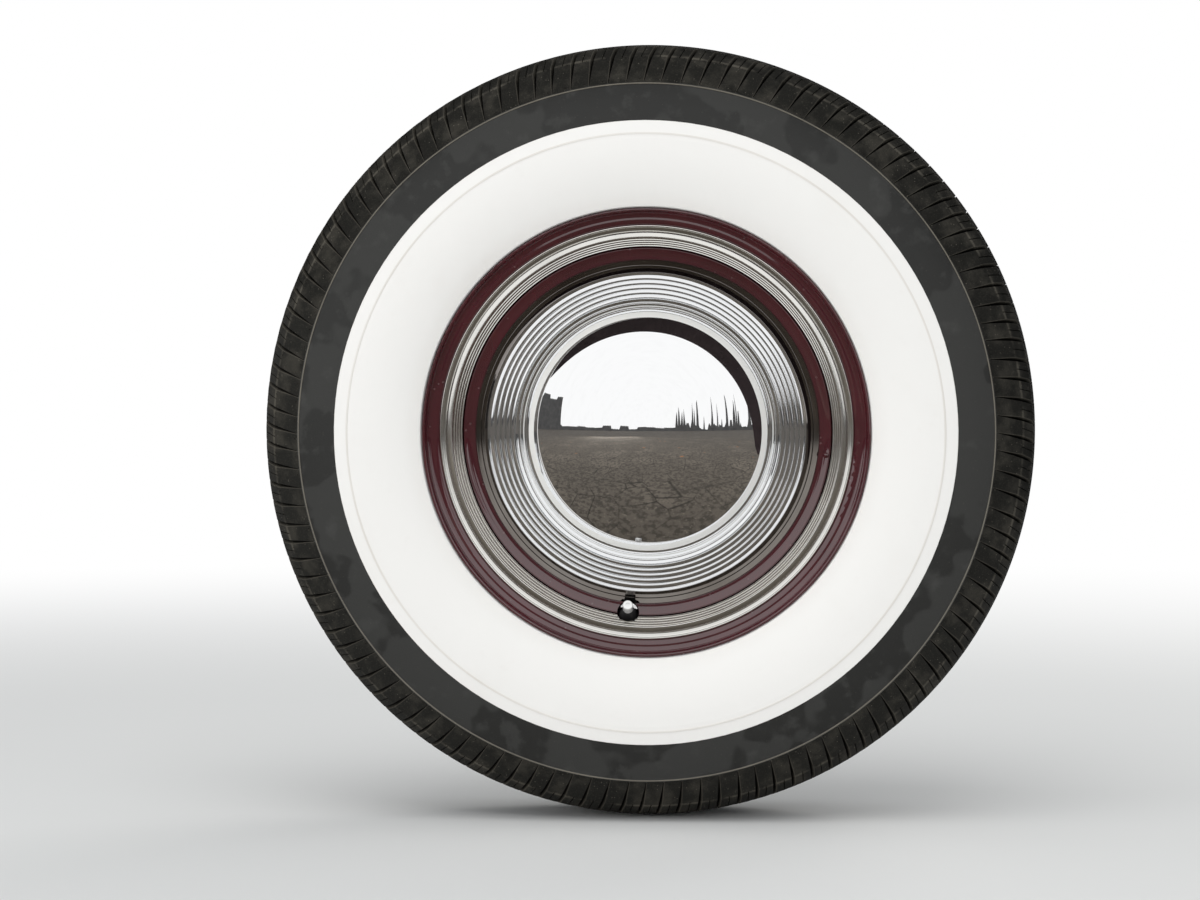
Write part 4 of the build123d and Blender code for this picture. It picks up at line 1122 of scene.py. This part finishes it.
class WHEEL_OT_stage(bpy.types.Operator):
    """Sets up the floor, reflection cards, lights, backdrop and camera"""

    bl_idname = "wheel.stage"
    bl_label = "Studio"

    def execute(self, context):
        s = context.scene.wheel_stage
        floor_z = -TYRE_RADIUS
        over_floor, off_tyre = 4 * MM, 30 * MM
        flat_sheet("floor", FAR, floor_z, floor_finish(s), True)
        near_edge = CENTRE_Y - TYRE_HALF_WIDTH - off_tyre
        flat_sheet("ground_card", near_edge, floor_z + over_floor, ground_finish(s), False)
        # The arch card is painted shade: a dark sheet, seen only in reflections, for the body's shaded wheel
        # arch.
        dark = Finish("arch_card")
        dark_tint = dark.mix(s.arch, shade(s.arch, 1.8), dark.noise(3.0, 2.0))
        self.arch(s, dark.surface(dark_tint, 0.9))
        hazy = Finish("skyline_card")
        hazy_tint = hazy.mix((0.07, 0.068, 0.07), (0.20, 0.19, 0.18), hazy.noise(1.6, 4.0))
        self.skyline(floor_z, hazy.surface(hazy_tint, 0.9))
        self.world(context)
        for name, place, size, watts, tint in (
            ("sky_panel", (-0.4, -1.6, 3.0), (3.4, 2.4), 45, (1.0, 1.0, 0.99)),
            ("front_panel", (-1.8, -4.4, 0.5), (2.4, 1.6), 58, (1.0, 0.99, 0.97)),
            ("rear_panel", (1.8, 2.8, 1.8), (2.2, 1.6), 40, (1.0, 0.98, 0.95)),
        ):
            area_light(name, place, (0, CENTRE_Y, 0), size, watts, tint)
        self.camera(context, s)
        context.scene.view_settings.view_transform = "Standard"
        return {"FINISHED"}

    def arch(self, s, material):
        """A dark arch over the wheel, such as a body casts on its bright trim: a sheet of painted shade, seen
        only in reflections, for the body's shaded wheel arch.
        """
        count, start, end = 44, radians(-14), radians(160)
        inner, low, high, flare = -0.05, -0.240, -0.125, 0.055
        edges = []
        for step in range(count + 1):
            turn = start + (end - start) * step / count
            outer = low - flare * (1 - step / count) ** 2 + high * sin(pi * step / count) ** 0.6
            edges.append([(s.arch_radius * cos(turn), y, s.arch_radius * sin(turn)) for y in (inner, outer)])
        ribbon("arch_card", edges, material)

    def skyline(self, floor_z, material):
        """Low uneven shapes far off, along the horizon that the dome mirrors, with a block and bare trees.
        The numbers in the sines only spread the heights unevenly."""
        count, steps_in_run, sweep, distance = 330, 10, 172, 18.0
        low, broad, fine, block, trees = 0.62, 0.42, 0.14, 4.6, 6.0
        block_start, block_end, trees_start, trees_end = -1.27, -0.98, 0.25, 1.15
        edges = []
        for step in range(count + 1):
            bearing = radians(-sweep / 2 + sweep * step / count)
            run = step // steps_in_run
            height = low + broad * sin(12.9 * run + 1) * sin(78.2 * run)
            height += fine * sin(39.3 * step) * sin(11.1 * step)
            height += block * (block_start < bearing < block_end)
            height += trees * (sin(12.9898 * step) * 437.585 % 1.0) ** 3 * (trees_start < bearing < trees_end)
            place = (distance * sin(bearing), -distance * cos(bearing))
            edges.append([(*place, floor_z), (*place, floor_z + height)])
        ribbon("skyline_card", edges, material)

    def world(self, context):
        """A white sky, weaker as a light than it looks."""
        world = bpy.data.worlds.new("studio")
        context.scene.world = world
        w = Finish("studio", world)
        shown, light = (
            w.node("ShaderNodeBackground", {}, {"Color": tint, "Strength": strength})
            for tint, strength in (((1.0, 1.0, 1.0), 1.0), ((0.94, 0.97, 1.0), 0.55))
        )
        both = w.node("ShaderNodeMixShader", {}, {0: shown_rays(w), 1: light, 2: shown})
        w.node("ShaderNodeOutputWorld", {}, {"Surface": both})

    def camera(self, context, s):
        """Nearly square to the wheel, from a little over its axle."""
        lens = bpy.data.cameras.new("camera")
        lens.lens = s.lens
        lens.sensor_width = 36.0
        camera = bpy.data.objects.new("camera", lens)
        context.scene.collection.objects.link(camera)
        hub_face = Vector((0, CENTRE_Y - LIP_REACH, 0))
        level = cos(s.elevation)
        back = Vector((sin(s.azimuth) * level, -cos(s.azimuth) * level, sin(s.elevation)))
        camera.location = hub_face + back * s.camera_distance
        camera.rotation_euler = (-back).to_track_quat("-Z", "Y").to_euler()
        frame_width, frame_height = 1200, 900
        wheel_x, wheel_y = 645.5, 433.0
        lens.shift_x = (frame_width / 2 - wheel_x) / frame_width
        lens.shift_y = (wheel_y - frame_height / 2) / frame_width
        context.scene.camera = camera


class WHEEL_PT_panel(bpy.types.Panel):
    """Lists the steps that dress the wheel"""

    bl_label = "Classic wheel"
    bl_idname = "WHEEL_PT_panel"
    bl_space_type = "VIEW_3D"
    bl_region_type = "UI"
    bl_category = "Wheel"

    def draw(self, context):
        for step in STEPS:
            self.layout.operator(step.bl_idname)
        for group in ("wheel_tyre", "wheel_finish", "wheel_stage"):
            settings = getattr(context.scene, group)
            box = self.layout.box()
            for name in settings.__annotations__:
                box.prop(settings, name)


STEPS = (WHEEL_OT_tyre, WHEEL_OT_wheel, WHEEL_OT_trim, WHEEL_OT_running_gear, WHEEL_OT_stage)
SETTINGS = {
    "wheel_tyre": WheelTyreSettings,
    "wheel_finish": WheelFinishSettings,
    "wheel_stage": WheelStageSettings,
}


def register():
    for group in SETTINGS.values():
        bpy.utils.register_class(group)
    for step in (*STEPS, WHEEL_PT_panel):
        bpy.utils.register_class(step)
    for name, group in SETTINGS.items():
        setattr(bpy.types.Scene, name, bpy.props.PointerProperty(type=group))


def unregister():
    for name in SETTINGS:
        delattr(bpy.types.Scene, name)
    for step in (WHEEL_PT_panel, *reversed(STEPS), *reversed(tuple(SETTINGS.values()))):
        bpy.utils.unregister_class(step)


def main():
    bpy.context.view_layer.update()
    register()
    bpy.ops.wheel.tyre()
    bpy.ops.wheel.wheel()
    bpy.ops.wheel.trim()
    bpy.ops.wheel.running_gear()
    bpy.ops.wheel.stage()


if __name__ == "__main__":
    main()
